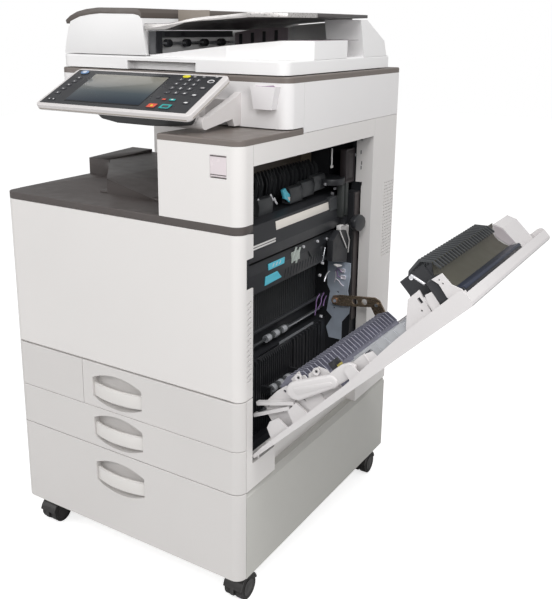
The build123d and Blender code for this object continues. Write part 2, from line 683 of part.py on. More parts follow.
def door_block(u0, u1, h0, h1, y0, y1):
    face_x = DOOR_HINGE_X + DOOR_FACE
    return block(face_x - h1, face_x - h0, y0, y1, DOOR_HINGE_Z + u0, DOOR_HINGE_Z + u1)


def door_rod(u, h, r, y0, y1):
    return rod_y(DOOR_HINGE_X + DOOR_FACE - h, DOOR_HINGE_Z + u, r, y0, y1)


def opened(shape):
    """Turn a door part from shut to its open rest."""
    turn = Pos(DOOR_HINGE_X, 0, DOOR_HINGE_Z) * Rot(0, DOOR_OPEN, 0) * Pos(-DOOR_HINGE_X, 0, -DOOR_HINGE_Z)
    return turn * shape


def door_shell():
    tip = DOOR_LENGTH
    nose = [(tip, 22), (tip, 6), (tip - 1.5, 2), (tip - 5.5, 0), (6, 0)]
    skin = [(6, SKIN), (tip - 6, SKIN), (tip - 3.8, 4), (tip - SKIN, 7), (tip - SKIN, 22)]
    shell = door_prism(nose + skin, DOOR_Y0, DOOR_Y1)
    rim = [(6, 6), (37, 9), (274, 14), (400, 26), (433, 28), (tip - 17, 30.5), (tip - 7, 30), (tip - 2, 27)]
    for y0, y1 in ((DOOR_Y0, DOOR_Y0 + SKIN), (DOOR_Y1 - SKIN, DOOR_Y1)):
        shell += door_prism(rim + nose, y0, y1)
    shell += door_block(6, 6 + SKIN, 0, 6, DOOR_Y0, DOOR_Y1)
    for y in (EAR_YS[0] - 11, EAR_YS[1] + 4.5):
        shell += door_block(0, 8, 0.6, 5.4, y, y + 10.5) + door_rod(0, DOOR_FACE, 3.5, y, y + 10.5)
        shell -= door_rod(0, DOOR_FACE, DOOR_PIN_R + FIT, y - 2, y + 12)
    return opened(shell)


# The white frame inside the door: side brackets, struts and the rail for the stay.
LEVER_U = 298.0
LEVER_H = 30.0


def door_frame():
    frame = door_block(10, 280, SKIN, 6, 66, 480)
    frame += door_prism([(112, SKIN), (118, 10), (312, 12), (400, 22), (433, 25), (550, 26), (550, SKIN)], 45.5, 66)
    frame += door_prism([(70, SKIN), (80, 66), (92, 72), (127, 75), (150, 73), (158, 62), (176, SKIN)], 66, 69)
    frame += door_prism([(168, SKIN), (170, 77), (194, 80), (192, 70.5), (199, 68.5), (206, SKIN)], 66.2, 69)
    frame += door_prism([(196, SKIN), (199, 58), (206, 66), (232, 66), (243, 52), (250, SKIN)], 70, 73)
    frame += door_prism([(60, SKIN), (70, 32), (84, 38), (104, 34), (112, SKIN)], 50, 54)
    for near, far in (((133, 34), (53, 62)), ((148, 36), (76, 76))):
        strut = [near, (near[0] + 3, near[1] + 6), (far[0] + 3, far[1] + 6), far]
        frame += door_prism(strut, 56, 66.5)
    frame += door_prism([(120, SKIN), (128, 34), (155, 38), (165, SKIN)], 56, 60)
    for u, h in ((90, 64), (142, 66), (112, 40), (188, 68.5)):
        frame -= door_rod(u, h, 3, 60, 69.6)
    frame -= door_rod(225, 57, 4, 69.8, 78)
    rail = door_block(128, 334, SKIN, 46, RAIL_Y, RAIL_Y + RAIL_T)
    rail -= door_block(139, 324, TRACK_H - 3.8, TRACK_H + 3.8, RAIL_Y - 5, RAIL_Y + 5)
    rail += door_block(128, 334, SKIN, 6, 479, RAIL_Y + RAIL_T)
    frame += rail
    frame += door_prism([(424, SKIN), (425, 30), (461, 67), (487, 68), (480, 22), (482, SKIN)], 62.5, 66)
    frame -= door_block(474.5, 480.5, 48.5, 58.5, 60, 68) + door_rod(469, 39, 1.8, 60, 68)
    near = [(528, SKIN), (522.4, 33), (525, 57), (520, 69.5), (540, 67.6), (541, 45), (550, 30), (550, SKIN)]
    frame += door_prism(near, 54.5, 58)
    for u, h in ((531, 54), (530, 62)):
        frame -= door_rod(u, h, 1.6, 53, 60)
    frame += door_prism([(490, SKIN), (494, 68), (508, 88), (517, 89), (527, 72), (530, SKIN)], 426, 520)
    frame += door_block(280, 545, SKIN, 5, 66, 520)
    for y0, y1 in ((47, 50.4), (66.4, 70)):
        frame += door_prism([(284, SKIN), (288, 34), (298, 38), (308, 34), (312, SKIN)], y0, y1)
    frame += door_rod(LEVER_U, LEVER_H, 3, 47, 68)
    return opened(frame)


def duplex_guide():
    """The black ribbed paper guide across the door."""
    guide = door_prism([(134, 6), (140, 38), (140, 66), (172, 74), (184, 60), (188, 6)], 70, 478)
    guide -= door_prism([(144, 5), (146, 38), (146, 60), (170, 67), (178, 57), (180, 5)], 74, 474)
    rib = [(132, 38), (134, 78), (160, 85), (186, 76), (192, 50), (186, 50), (140, 38)]
    for i in range(29):
        y = 74 + i * 14
        guide += door_prism(rib, y, y + 2.5)
    return opened(guide)


def transfer_unit():
    """The black box near the top of the door with a ribbed ridge towards the machine."""
    unit = door_prism([(446, 5), (446, 66), (458, 92), (517, 92), (526, 60), (526, 42), (534, 30), (534, 5)], 100, 425.5)
    unit -= door_block(460, 516, 4, 40, 110, 416)
    ridge = door_prism([(458, 91), (475, 103), (500, 108), (517, 91)], 100, 400)
    for i in range(23):
        y = 104 + i * 13
        ridge -= door_prism([(455, 96), (475, 99), (500, 104), (518, 90), (520, 112), (455, 112)], y, y + 8)
    return opened(unit + ridge)


def clear_guide():
    """The clear inner guide with its long stiffening ribs."""
    guide = door_block(290, 434, 37, 40, 74, 478)
    for u in (290, 338, 386, 431):
        guide += door_block(u, u + 3, 5, 37, 74, 478)
    for i in range(12):
        y = 90 + i * 34
        guide += door_block(292, 432, 40, 43, y, y + 2)
    return opened(guide)


def jam_lever():
    """The white release lever: a fat capsule whose neck turns on a pin at its upper end."""
    upper = [(155, 50), (159, 65), (178, 76), (199, 77.5), (243, 61), (266, 46), (300, 38), (306, 30)]
    lower = [(300, 22), (259, 25), (240, 24), (197, 30), (167, 40)]
    lever = door_prism(upper + lower, 51, 65.6)
    return opened(lever - door_rod(LEVER_U, LEVER_H, 3 + FIT, 40, 75))


def front_cover():
    """The large front cover: bored lugs at the foot and a return along the right side."""
    cover = front_tray(LEFT, RIGHT, FRONT_Z, TRIM_Z - 0.8, 14)
    side = rounded_plan(LEFT, RIGHT, 0, OPENING_Y0, FRONT_Z, TRIM_Z - 0.8, CORNER_R)
    side -= rounded_plan(LEFT - 5, INNER_R, SKIN, 60, FRONT_Z - 5, TRIM_Z + 5, CORNER_R - SKIN, False)
    cover += side & block(260, 300, -1, OPENING_Y0, FRONT_Z, TRIM_Z)
    cover -= prism_x([(CORNER_R, TRIM_Z), (OPENING_Y0 + 1, TRIM_Z - 4), (OPENING_Y0 + 1, TRIM_Z)], 285, 300)
    foot = [(-1, FRONT_Z - 1), (3, FRONT_Z - 1), (3, FRONT_Z), (0, FRONT_Z + 3), (-1, FRONT_Z + 3)]
    cover -= prism_x(foot, -300, 300)
    cover -= block(285, 300, 20, OPENING_Y0 + 1, 653, 709)
    for i in range(16):
        z = 474 + i * 10
        slot = [(23, z), (35, z + 4.5), (35, z + 7.5), (23, z + 3)]
        cover -= prism_x(slot, 285, 300)
    for x in (HINGE_EAR_X, -HINGE_EAR_X - 4):
        cover -= block(x - 1, x + 5, SKIN, 20, FRONT_Z - 1, FRONT_Z + SKIN + 1)
    for x in (HINGE_EAR_X - 8.6, -HINGE_EAR_X + 0.6):
        cover += rod_x(HINGE_Y, HINGE_Z, 3.2, x, x + 8)
    cover -= rod_x(HINGE_Y, HINGE_Z, HINGE_PIN_R + FIT, -280, -257)
    cover -= rod_x(HINGE_Y, HINGE_Z, HINGE_PIN_R + FIT, 257, 280)
    return cover


# The operation panel, drawn flat as (u, v, w) with w = 0 on its face and then tilted. It hangs
# on a cross pin between two cheeks that stand out from the scanner.
PANEL_AXIS_Y = 45.0
PANEL_AXIS_Z = 936.0
PANEL_PIN_R = 3.0
CHEEKS = ((100, 114), (176, 190))
KEY_TOP = 0.8
KEY_PLAY = 0.4
PANEL_PLANE = Plane(
    (PANEL_X, PANEL_Y, PANEL_Z),
    x_dir=(1, 0, 0),
    z_dir=Vector(0, 0, 1).rotate(Axis.X, PANEL_TILT),
)
FUNCTION_KEYS = [
    (30, 124, 18, 12),
    (31, 104, 13, 8),
    (30, 90, 13, 8),
    (27, 76, 13, 8),
    (25, 61, 13, 8),
    (23, 46, 13, 8),
    (22, 22, 7, 7),
    (33, 22, 7, 7),
]
NUMBER_KEYS = [(u, v, 13, 8.5) for v in (117, 102, 86.5, 71) for u in (279, 299, 319)]
OPERATION_KEYS = [
    (271, 53, 9, 6),
    (289, 47, 9, 6),
    (308, 47, 14, 7),
    (277, 24, 20, 13),
    (308, 24, 24, 15),
    (342, 41, 13, 8),
    (343, 67, 13, 8),
    (345, 92, 13, 8),
    (349, 115, 15, 12),
]


def key_caps(keys, webs, grow, w0, w1):
    """Round-ended caps at the listed places, joined by flat webs beneath."""
    caps = Part()
    for u, v, width, height in keys:
        radius = min(width, height) / 2 - 0.6
        caps += Pos(u, v, w0) * extrude(RectangleRounded(width + grow, height + grow, radius), w1 - w0)
    for u0, u1, v0, v1 in webs:
        caps += block(u0, u1, v0, v1, -7, -5.5)
    return caps


def function_keys():
    return PANEL_PLANE * key_caps(FUNCTION_KEYS, [(16, 40, 16, 131)], 0, -6, KEY_TOP)


def number_keys():
    return PANEL_PLANE * key_caps(NUMBER_KEYS, [(272, 327, 66, 122)], 0, -6, KEY_TOP)


def operation_keys():
    webs = [(264, 352, 16, 58), (336, 358, 16, 122)]
    return PANEL_PLANE * key_caps(OPERATION_KEYS, webs, 0, -6, KEY_TOP)


def panel_screen():
    """The black face plate with the recessed display, pierced for the keys."""
    plate = block(6.3, 363, 8.3, 134.7, -2.5, -0.2) - block(62, 248, 20, 125, -0.8, 1)
    keys = FUNCTION_KEYS + NUMBER_KEYS + OPERATION_KEYS
    return PANEL_PLANE * (plate - key_caps(keys, [], 2 * KEY_PLAY, -4, 1))


def panel_case():
    case = Pos(PANEL_W / 2, PANEL_DEPTH / 2, -PANEL_T) * extrude(RectangleRounded(PANEL_W, PANEL_DEPTH, 11), PANEL_T)
    case = fillet(case.faces().sort_by(Axis.Z)[-1].edges(), 2)
    case = fillet(case.faces().sort_by(Axis.Z)[0].edges(), 5)
    case -= block(6, 363.3, 8, 135, -2.5, 1)
    case -= block(12, 44, 12, 133, -9, 0) + block(262, 360, 12, 126, -9, 0)
    case += block(60, 250, 24, 112, -22, -PANEL_T)
    axis_v = 36.1
    axis_w = -37.0
    case += block(CHEEKS[0][1] + 0.6 - PANEL_X, CHEEKS[1][0] - 0.6 - PANEL_X, axis_v - 7, axis_v + 7, axis_w, -PANEL_T)
    case = PANEL_PLANE * case
    case += rod_x(PANEL_AXIS_Y, PANEL_AXIS_Z, 10.5, CHEEKS[0][1] + 0.6, CHEEKS[1][0] - 0.6)
    return case - rod_x(PANEL_AXIS_Y, PANEL_AXIS_Z, PANEL_PIN_R + FIT, 90, 200)


def panel_arm():
    upper = [(36, 942), (60, 949), (138, 976), (SCANNER_Y, 984)]
    profile = upper + [(SCANNER_Y, 923), (134, 923), (128, 937), (50, 926)]
    arm = Part()
    for x0, x1 in CHEEKS:
        arm += prism_x(profile, x0, x1) + rod_x(PANEL_AXIS_Y, PANEL_AXIS_Z, 11, x0, x1)
    arm += block(CHEEKS[0][0], CHEEKS[1][1], 146, SCANNER_Y, 930, 970)
    return arm + rod_x(PANEL_AXIS_Y, PANEL_AXIS_Z, PANEL_PIN_R, CHEEKS[0][0], CHEEKS[1][1])


# The scanner: case with two rails, moving carriage, brown top with the glass, clip tray.
RAIL_YS = (225.0, 485.0)
ADF_HINGE_Y = 625.0
ADF_HINGE_Z = 1026.0
ADF_PIN_R = 3.0


def scanner_case():
    case = rounded_plan(SCANNER_X, RIGHT, SCANNER_Y, BACK, SCANNER_Z, RIM_Z, CORNER_R)
    case -= rounded_plan(SCANNER_X + 3, RIGHT - 3, SCANNER_Y + 3, BACK - 3, SCANNER_Z + 3, RIM_Z + 5, CORNER_R - 3)
    case += block(INNER_R, RIGHT, 213, BACK - SKIN, SHELF_Z + 2, SCANNER_Z + 1)
    case -= block(RIGHT - 1, RIGHT + 1, 212, 213, SCANNER_Z - 1, RIM_Z + 1)
    for y in RAIL_YS:
        case += rod_x(y, 960, 4, SCANNER_X + 2, RIGHT - 2)
    return case


def scan_carriage():
    carriage = block(-262, -222, 190, 520, 948, 1001) - block(-252, -232, 200, 510, 985, 1002)
    for y in RAIL_YS:
        carriage -= rod_x(y, 960, 4 + FIT, -270, -200)
    return carriage


GLASS_Y = (200.0, 500.0)
GLASSES = ((-225.0, 205.0), (-259.0, -237.0))


def scanner_top():
    top = soften(rounded_plan(SCANNER_X, RIGHT, SCANNER_Y, BACK, RIM_Z, RIM_TOP_Z, CORNER_R), 3)
    for x0, x1 in GLASSES:
        top -= block(x0, x1, *GLASS_Y, RIM_TOP_Z - 5, RIM_TOP_Z + 1)
        top -= block(x0 + 4, x1 - 4, GLASS_Y[0] + 5, GLASS_Y[1] - 5, RIM_Z - 1, RIM_TOP_Z)
    for x0, x1, p0, p1 in ((-200, -190, -191, -176), (200, 210, 186, 201)):
        top += block(x0, x1, ADF_HINGE_Y - 7, ADF_HINGE_Y + 7, RIM_TOP_Z - 1, ADF_HINGE_Z)
        top += rod_x(ADF_HINGE_Y, ADF_HINGE_Z, 7, x0, x1) + rod_x(ADF_HINGE_Y, ADF_HINGE_Z, ADF_PIN_R, p0, p1)
    return top


def platen_glass():
    panes = Part()
    for x0, x1 in GLASSES:
        panes += block(x0 + 0.3, x1 - 0.3, GLASS_Y[0] + 0.3, GLASS_Y[1] - 0.3, RIM_TOP_Z - 5, RIM_TOP_Z - 2)
    return panes


def clip_tray():
    """The open-topped clip pocket on the scanner's front."""
    tray = prism_y([(222, 998), (276, 998), (268, 957), (230, 957)], 137, SCANNER_Y)
    return tray - prism_y([(224.5, 1000), (273.5, 1000), (266, 960), (232, 960)], 139.5, 153.5)


# The document feeder: base with paper floor, hinged feed cover, lifting table with two fences.
FEED_HINGE_X = -266.0
FEED_HINGE_Z = 1048.0
FEED_PIN_R = 1.5
TABLE_HINGE_X = -28.0
TABLE_HINGE_Z = 1098.0
TABLE_PIN_R = 2.0
EXIT_X = -25.0
EXIT_Z = 1068.0
ADF_BACK = 605.0


def adf_base():
    base = soften(rounded_plan(-272, 285, SCANNER_Y + 2, ADF_BACK, ADF_Z, ADF_TOP_Z, 20), 4)
    base -= block(-88, 84, SCANNER_Y - 5, 176, ADF_Z - 1, 1034)
    floor = [(-30, ADF_TOP_Z - 1), (-30, 1046), (235, 1077), (285, 1077), (285, ADF_TOP_Z - 1)]
    plan = [(-30, 166), (150, 166), (285, 262), (285, 400), (200, 452), (-30, 452)]
    base += prism_y(floor, 160, 460) & prism_z(plan, ADF_TOP_Z - 2, 1080)
    base += prism_x([(479, 1042), (458, 1117.5), (489, 1117.5), (580, 1074), (594, 1042)], 200, 285)
    base += block(-225, -64, 178, 590, ADF_TOP_Z - 1, 1098)
    for y in (168, 588.6):
        base += block(-36, -20, y, y + 5.4, ADF_TOP_Z - 1, 1103)
        base += rod_y(TABLE_HINGE_X, TABLE_HINGE_Z, TABLE_PIN_R, min(y, 580), max(y + 5.4, 182))
    base += block(-36, -14, 446, 452, ADF_TOP_Z - 1, 1078)
    base -= rod_y(EXIT_X, EXIT_Z, 2.5 + FIT, 160, 455)
    for x0, x1 in ((-189.4, -176), (186, 199.4)):
        base += block(x0, x1, ADF_BACK - 2, ADF_HINGE_Y, ADF_HINGE_Z - 5, ADF_HINGE_Z + 5)
        base += rod_x(ADF_HINGE_Y, ADF_HINGE_Z, 7, x0, x1)
        base -= rod_x(ADF_HINGE_Y, ADF_HINGE_Z, ADF_PIN_R + FIT, x0 - 1, x1 + 1)
    for y in (240, 550):
        base += block(FEED_HINGE_X - 3, FEED_HINGE_X + 3, y, y + 4, ADF_TOP_Z - 1, FEED_HINGE_Z)
        base += rod_y(FEED_HINGE_X, FEED_HINGE_Z, 3, y, y + 4)
        base += rod_y(FEED_HINGE_X, FEED_HINGE_Z, FEED_PIN_R, y + 3, y + 18)
    return base


def adf_feed_cover():
    outline = [
        (-262, 1044.5),
        (-256, 1074),
        (-240, 1118),
        (-222, 1126),
        (-158, 1136),
        (-58, 1134),
        (-50, 1126),
        (-39, 1046),
        (-39, 1044.5),
    ]
    inner = [(-258, 1040), (-252, 1074), (-237, 1115), (-158, 1129), (-58, 1128), (-54, 1122), (-42, 1040)]
    cover = prism_y(outline, 160, 600) - prism_y(inner, 163, 597)
    for y in (244.6, 554.6):
        cover += block(FEED_HINGE_X, -257, y, y + 13, FEED_HINGE_Z - 2.5, FEED_HINGE_Z + 3)
        cover += rod_y(FEED_HINGE_X, FEED_HINGE_Z, 3.3, y, y + 13)
        cover -= rod_y(FEED_HINGE_X, FEED_HINGE_Z, FEED_PIN_R + FIT, y - 1, y + 14)
    for y in (240, 550):
        cover -= block(-264, -256, y - 0.5, y + 4.5, 1040, FEED_HINGE_Z + 4)
    return cover


TABLE_TOP = [(-42, 1106), (12, 1105.5), (41, 1110), (80, 1117), (108, 1119.5), (162, 1123), (205, 1127), (285, 1127.5)]
TABLE_FOOT = [(285, 1121), (200, 1118.3), (117, 1113), (60, 1108.5), (21, 1098), (10, 1095), (-42, 1093.5)]


def adf_table():
    """The paper table with a bowed step; a lip at its front passes before the hinge post."""
    plan = [(-42, 166.4), (-42, 161), (200, 161), (262, 200), (285, 270), (285, 487), (196, 487), (196, 598)]
    plan += [(-12, 598), (-12, 588), (-34, 588), (-34, 174), (-12, 174), (-12, 166.4)]
    table = prism_y(TABLE_TOP + TABLE_FOOT, 150, 600) & prism_z(plan, 1090, 1130)
    return table - rod_y(TABLE_HINGE_X, TABLE_HINGE_Z, TABLE_PIN_R + FIT, 170, 592)


def fence(y0, y1, foot_y0, foot_y1):
    """A side fence: a wall and a foot lying along the table's bowed step."""
    foot = [(-20, 1106.2), (12, 1105.9), (41, 1110.4), (57, 1113.3)]
    wall = prism_y(foot + [(57, 1133), (-20, 1133)], y0, y1)
    return wall + prism_y(foot + [(57, 1115), (41, 1112.2), (12, 1107.7), (-20, 1108)], foot_y0, foot_y1)


def front_fence():
    return fence(240, 243, 240, 262)


def rear_fence():
    return fence(507, 510, 488, 510)


def adf_exit_rollers():
    shaft = rod_y(EXIT_X, EXIT_Z, 2.5, 167, 452)
    for y in (205, 267, 329, 392):
        shaft += rod_y(EXIT_X, EXIT_Z, 8, y, y + 12)
    return shaft


PARTS = [
    bank_case,
    bank_drawer,
    bank_drawer_front,
    tray_2,
    tray_2_front,
    tray_1,
    tray_1_front,
    left_front_panel,
    rear_caster_forks,
    main_frame,
    left_cover,
    rear_cover,
    power_inlet,
    right_rear_cover,
    right_upper_cover,
    right_lower_cover,
    output_deck,
    tower_cover,
    switch_cover,
    power_switch,
    tower_top,
    inner_cover,
    toner_bottles,
    belt_unit,
    fuser_unit,
    registration_roller,
    feed_roller,
    feed_guide,
    hinge_plate,
    door_stay,
    door_shell,
    door_frame,
    duplex_guide,
    transfer_unit,
    clear_guide,
    jam_lever,
    front_cover,
    panel_case,
    panel_screen,
    function_keys,
    number_keys,
    operation_keys,
    panel_arm,
    scanner_case,
    scan_carriage,
    scanner_top,
    platen_glass,
    clip_tray,
    adf_base,
    adf_feed_cover,
    adf_table,
    front_fence,
    rear_fence,
    adf_exit_rollers,
]

for part in PARTS:
    save(part(), part.__name__)
for side in ("front_left", "front_right"):
    place_x, place_y = CASTERS[side]
    save(front_caster_fork(place_x, place_y), f"{side}_fork")
for side, (place_x, place_y) in CASTERS.items():
    save(caster_wheels(place_x, place_y), f"{side}_wheels")
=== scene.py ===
import math

import bpy
import bmesh
from mathutils import Matrix, Vector


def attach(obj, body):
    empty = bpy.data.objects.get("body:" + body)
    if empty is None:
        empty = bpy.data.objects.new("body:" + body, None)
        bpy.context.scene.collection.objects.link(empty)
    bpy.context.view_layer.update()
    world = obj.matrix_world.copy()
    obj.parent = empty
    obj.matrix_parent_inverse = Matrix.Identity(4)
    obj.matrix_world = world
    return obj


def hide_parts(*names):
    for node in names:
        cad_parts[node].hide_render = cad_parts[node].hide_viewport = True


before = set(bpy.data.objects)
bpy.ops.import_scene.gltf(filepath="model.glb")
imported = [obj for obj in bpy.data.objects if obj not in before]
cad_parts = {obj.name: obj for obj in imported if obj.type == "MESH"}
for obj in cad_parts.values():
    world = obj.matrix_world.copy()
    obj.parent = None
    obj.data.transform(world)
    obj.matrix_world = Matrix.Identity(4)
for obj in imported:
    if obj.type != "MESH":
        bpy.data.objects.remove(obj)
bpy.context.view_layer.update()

# Black nylon twin-wheel casters: glass-filled forks with a dull sheen and hard rubber treads,
# bolted under the paper bank. Each wheel's outer face has a dished hub disc pressed into it.
# Pieces are drawn in millimetres from the cabinet's front face; the frame has metres from its middle.
MM = 0.001
HALF_DEPTH = 0.325
CABINET = Matrix.Translation((0, -HALF_DEPTH, 0)) @ Matrix.Scale(MM, 4)
TO_RIGHT, TO_FRONT, TO_TOP, TO_FLOOR = (1, 0, 0), (0, -1, 0), (0, 0, 1), (0, 0, -1)
SHARP_EDGE = 0.6
FACING = 0.97
MERGE_GAP = 0.00001
NOISE_LOW, NOISE_HIGH = 0.3, 0.7
GRAIN_HEIGHT = 0.0001


def linear(r, g, b):
    """A colour picked on screen, 0 to 255, as the shader takes it."""
    shares = [c / 255 for c in (r, g, b)]
    return tuple(c / 12.92 if c < 0.04045 else ((c + 0.055) / 1.055) ** 2.4 for c in shares) + (1.0,)


def start_finish(name, rough, metal=0.0):
    """A finish with its shader, and the texture space every pattern on it reads."""
    finish = bpy.data.materials.new(name)
    finish.use_nodes = True
    shader = finish.node_tree.nodes["Principled BSDF"]
    shader.inputs["Roughness"].default_value = rough
    shader.inputs["Metallic"].default_value = metal
    space = finish.node_tree.nodes.new("ShaderNodeTexCoord")
    return finish, shader, space.outputs["Object"]


def noise(finish, space, scale, detail=3.0, stretch=(1, 1, 1)):
    """A noise pattern, so fine and stretched so much along each axis."""
    tree = finish.node_tree
    mapping = tree.nodes.new("ShaderNodeMapping")
    mapping.inputs["Scale"].default_value = stretch
    tree.links.new(space, mapping.inputs["Vector"])
    texture = tree.nodes.new("ShaderNodeTexNoise")
    texture.inputs["Scale"].default_value = scale
    texture.inputs["Detail"].default_value = detail
    tree.links.new(mapping.outputs["Vector"], texture.inputs["Vector"])
    return texture.outputs["Fac"]


def ramp(finish, fac, stops):
    """Colours laid over a pattern, each at its place from 0 to 1."""
    node = finish.node_tree.nodes.new("ShaderNodeValToRGB")
    while len(node.color_ramp.elements) < len(stops):
        node.color_ramp.elements.new(0.5)
    for element, (place, colour) in zip(node.color_ramp.elements, stops):
        element.position = place
        element.color = colour
    finish.node_tree.links.new(fac, node.inputs["Fac"])
    return node.outputs["Color"]


def tint(colour, share):
    """A colour made darker or lighter."""
    return tuple(min(1.0, c * share) for c in colour[:3]) + (1.0,)


def clouded(finish, shader, space, colour, spread, scale=5.0):
    """Faint unevenness of the colour, as in any moulding or coat of paint."""
    fac = noise(finish, space, scale, 4.0)
    stops = [(NOISE_LOW, tint(colour, 1 - spread)), (NOISE_HIGH, tint(colour, 1 + spread))]
    finish.node_tree.links.new(ramp(finish, fac, stops), shader.inputs["Base Color"])


def uneven_gloss(finish, shader, fac, low, high):
    """Roughness that wanders between two values with a pattern."""
    node = finish.node_tree.nodes.new("ShaderNodeMapRange")
    node.inputs["From Min"].default_value = NOISE_LOW
    node.inputs["From Max"].default_value = NOISE_HIGH
    node.inputs["To Min"].default_value = low
    node.inputs["To Max"].default_value = high
    finish.node_tree.links.new(fac, node.inputs["Value"])
    finish.node_tree.links.new(node.outputs["Result"], shader.inputs["Roughness"])


def bumped(finish, shader, fac, strength, distance):
    """Fine relief from a pattern."""
    node = finish.node_tree.nodes.new("ShaderNodeBump")
    node.inputs["Strength"].default_value = strength
    node.inputs["Distance"].default_value = distance
    finish.node_tree.links.new(fac, node.inputs["Height"])
    finish.node_tree.links.new(node.outputs["Normal"], shader.inputs["Normal"])


def moulded(name, colour, rough=0.45, grain=1300.0, depth=0.25, spread=0.025):
    """Moulded plastic: spark-eroded grain, slightly uneven colour and gloss."""
    finish, shader, space = start_finish(name, rough)
    clouded(finish, shader, space, linear(*colour), spread)
    uneven_gloss(finish, shader, noise(finish, space, 40.0), rough - 0.04, rough + 0.05)
    bumped(finish, shader, noise(finish, space, grain, 2.0), depth, GRAIN_HEIGHT)
    return finish


def wear(nodes, finish):
    """Give CAD pieces a finish."""
    for name in nodes:
        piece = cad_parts[name]
        piece.data.materials.clear()
        piece.data.materials.append(finish)


def pick(piece):
    """Select one piece alone and make it the active one."""
    bpy.ops.object.select_all(action="DESELECT")
    piece.select_set(True)
    bpy.context.view_layer.objects.active = piece


def settle(piece, name, seat):
    """Name a piece drawn in millimetres and put it on its seat, the place going into its mesh."""
    piece.name = name
    piece.matrix_world = seat @ piece.matrix_basis
    bpy.ops.object.transform_apply(location=True, rotation=True, scale=True)
    return piece


def start_block(name, low, high, seat=CABINET):
    """A block between two corners."""
    bpy.ops.object.select_all(action="DESELECT")
    bpy.ops.mesh.primitive_cube_add(size=1, location=[(a + b) / 2 for a, b in zip(low, high)])
    bpy.context.object.scale = [b - a for a, b in zip(low, high)]
    return settle(bpy.context.object, name, seat)


def start_rod(name, start, end, radius, seat=CABINET, sides=20):
    """A round bar between two points."""
    bpy.ops.object.select_all(action="DESELECT")
    a, b = Vector(start), Vector(end)
    turn = (b - a).to_track_quat("Z", "Y").to_euler()
    bpy.ops.mesh.primitive_cylinder_add(
        vertices=sides, radius=radius, depth=(b - a).length, location=(a + b) / 2, rotation=turn
    )
    return settle(bpy.context.object, name, seat)


def start_plate(name, across, at, thick, points, seat=CABINET):
    """A plate square to an axis: its outline drawn corner by corner, filled, then pulled thick."""
    k = "xyz".index(across)
    corners = [Vector([*p[:k], at, *p[k:]]) for p in points]
    bpy.ops.object.select_all(action="DESELECT")
    bpy.ops.mesh.primitive_plane_add(size=1, location=(0, 0, 0))
    bpy.ops.object.mode_set(mode="EDIT")
    bpy.ops.mesh.merge(type="CENTER")
    bpy.ops.transform.translate(value=corners[0])
    for here, there in zip(corners, corners[1:]):
        bpy.ops.mesh.extrude_vertices_move(TRANSFORM_OT_translate={"value": there - here})
    bpy.ops.mesh.select_all(action="SELECT")
    bpy.ops.mesh.edge_face_add()
    pull = Vector((0, 0, 0))
    pull[k] = thick
    bpy.ops.mesh.extrude_region_move(TRANSFORM_OT_translate={"value": pull})
    bpy.ops.mesh.select_all(action="SELECT")
    bpy.ops.mesh.normals_make_consistent(inside=False)
    bpy.ops.object.mode_set(mode="OBJECT")
    return settle(bpy.context.object, name, seat)


def sunk(piece, facing, inset, depth):
    """Inset the faces that look one way and sink them; a negative depth raises them."""
    bpy.context.view_layer.objects.active = piece
    bpy.ops.object.mode_set(mode="EDIT")
    bpy.ops.mesh.select_mode(type="FACE")
    bpy.ops.mesh.select_all(action="DESELECT")
    mesh = bmesh.from_edit_mesh(piece.data)
    for face in mesh.faces:
        face.select_set(face.normal.dot(Vector(facing).normalized()) > FACING)
    bmesh.update_edit_mesh(piece.data)
    bpy.ops.mesh.inset(thickness=inset * MM, depth=-depth * MM)
    bpy.ops.mesh.select_mode(type="VERT")
    bpy.ops.object.mode_set(mode="OBJECT")
    return piece


def repeated(piece, count, step, seat=CABINET):
    """The same shape again along a line, so many in all."""
    bpy.context.view_layer.objects.active = piece
    bpy.ops.object.modifier_add(type="ARRAY")
    row = piece.modifiers[-1]
    row.count = count
    row.use_relative_offset = False
    row.use_constant_offset = True
    row.constant_offset_displace = seat.to_3x3() @ Vector(step)
    bpy.ops.object.modifier_apply(modifier=row.name)
    return piece


def finished(piece, body, finish, round_off=0.5, steps=2):
    """Round the edges, smooth the shading, and give the piece its finish and body."""
    pick(piece)
    if round_off:
        bpy.ops.object.modifier_add(type="BEVEL")
        edge = piece.modifiers[-1]
        edge.width = round_off * MM
        edge.segments = steps
        edge.limit_method = "ANGLE"
        edge.angle_limit = SHARP_EDGE
        bpy.ops.object.modifier_apply(modifier=edge.name)
    bpy.ops.object.shade_smooth_by_angle(angle=SHARP_EDGE)
    piece.data.materials.clear()
    piece.data.materials.append(finish)
    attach(piece, body)
    return piece


def cad_copy(name, node):
    """A CAD piece copied with its own mesh and its corners merged, ready to be cut."""
    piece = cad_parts[node].copy()
    piece.data = piece.data.copy()
    piece.name = name
    bpy.context.scene.collection.objects.link(piece)
    pick(piece)
    piece.parent = None
    bpy.ops.object.transform_apply(location=True, rotation=True, scale=True)
    bpy.ops.object.mode_set(mode="EDIT")
    bpy.ops.mesh.select_all(action="SELECT")
    bpy.ops.mesh.remove_doubles(threshold=MERGE_GAP)
    bpy.ops.object.mode_set(mode="OBJECT")
    return piece


def copied(piece, name, shift, body, seat=CABINET):
    """A second piece with its own mesh, moved over."""
    twin = piece.copy()
    twin.data = piece.data.copy()
    twin.name = name
    bpy.context.scene.collection.objects.link(twin)
    twin.data.transform(Matrix.Translation(seat.to_3x3() @ Vector(shift)))
    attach(twin, body)
    return twin


def copies(piece, name, shifts, body, seat=CABINET):
    """More pieces of the same shape, numbered from 2."""
    for number, shift in enumerate(shifts, 2):
        copied(piece, f"{name}_{number}", shift, body, seat)


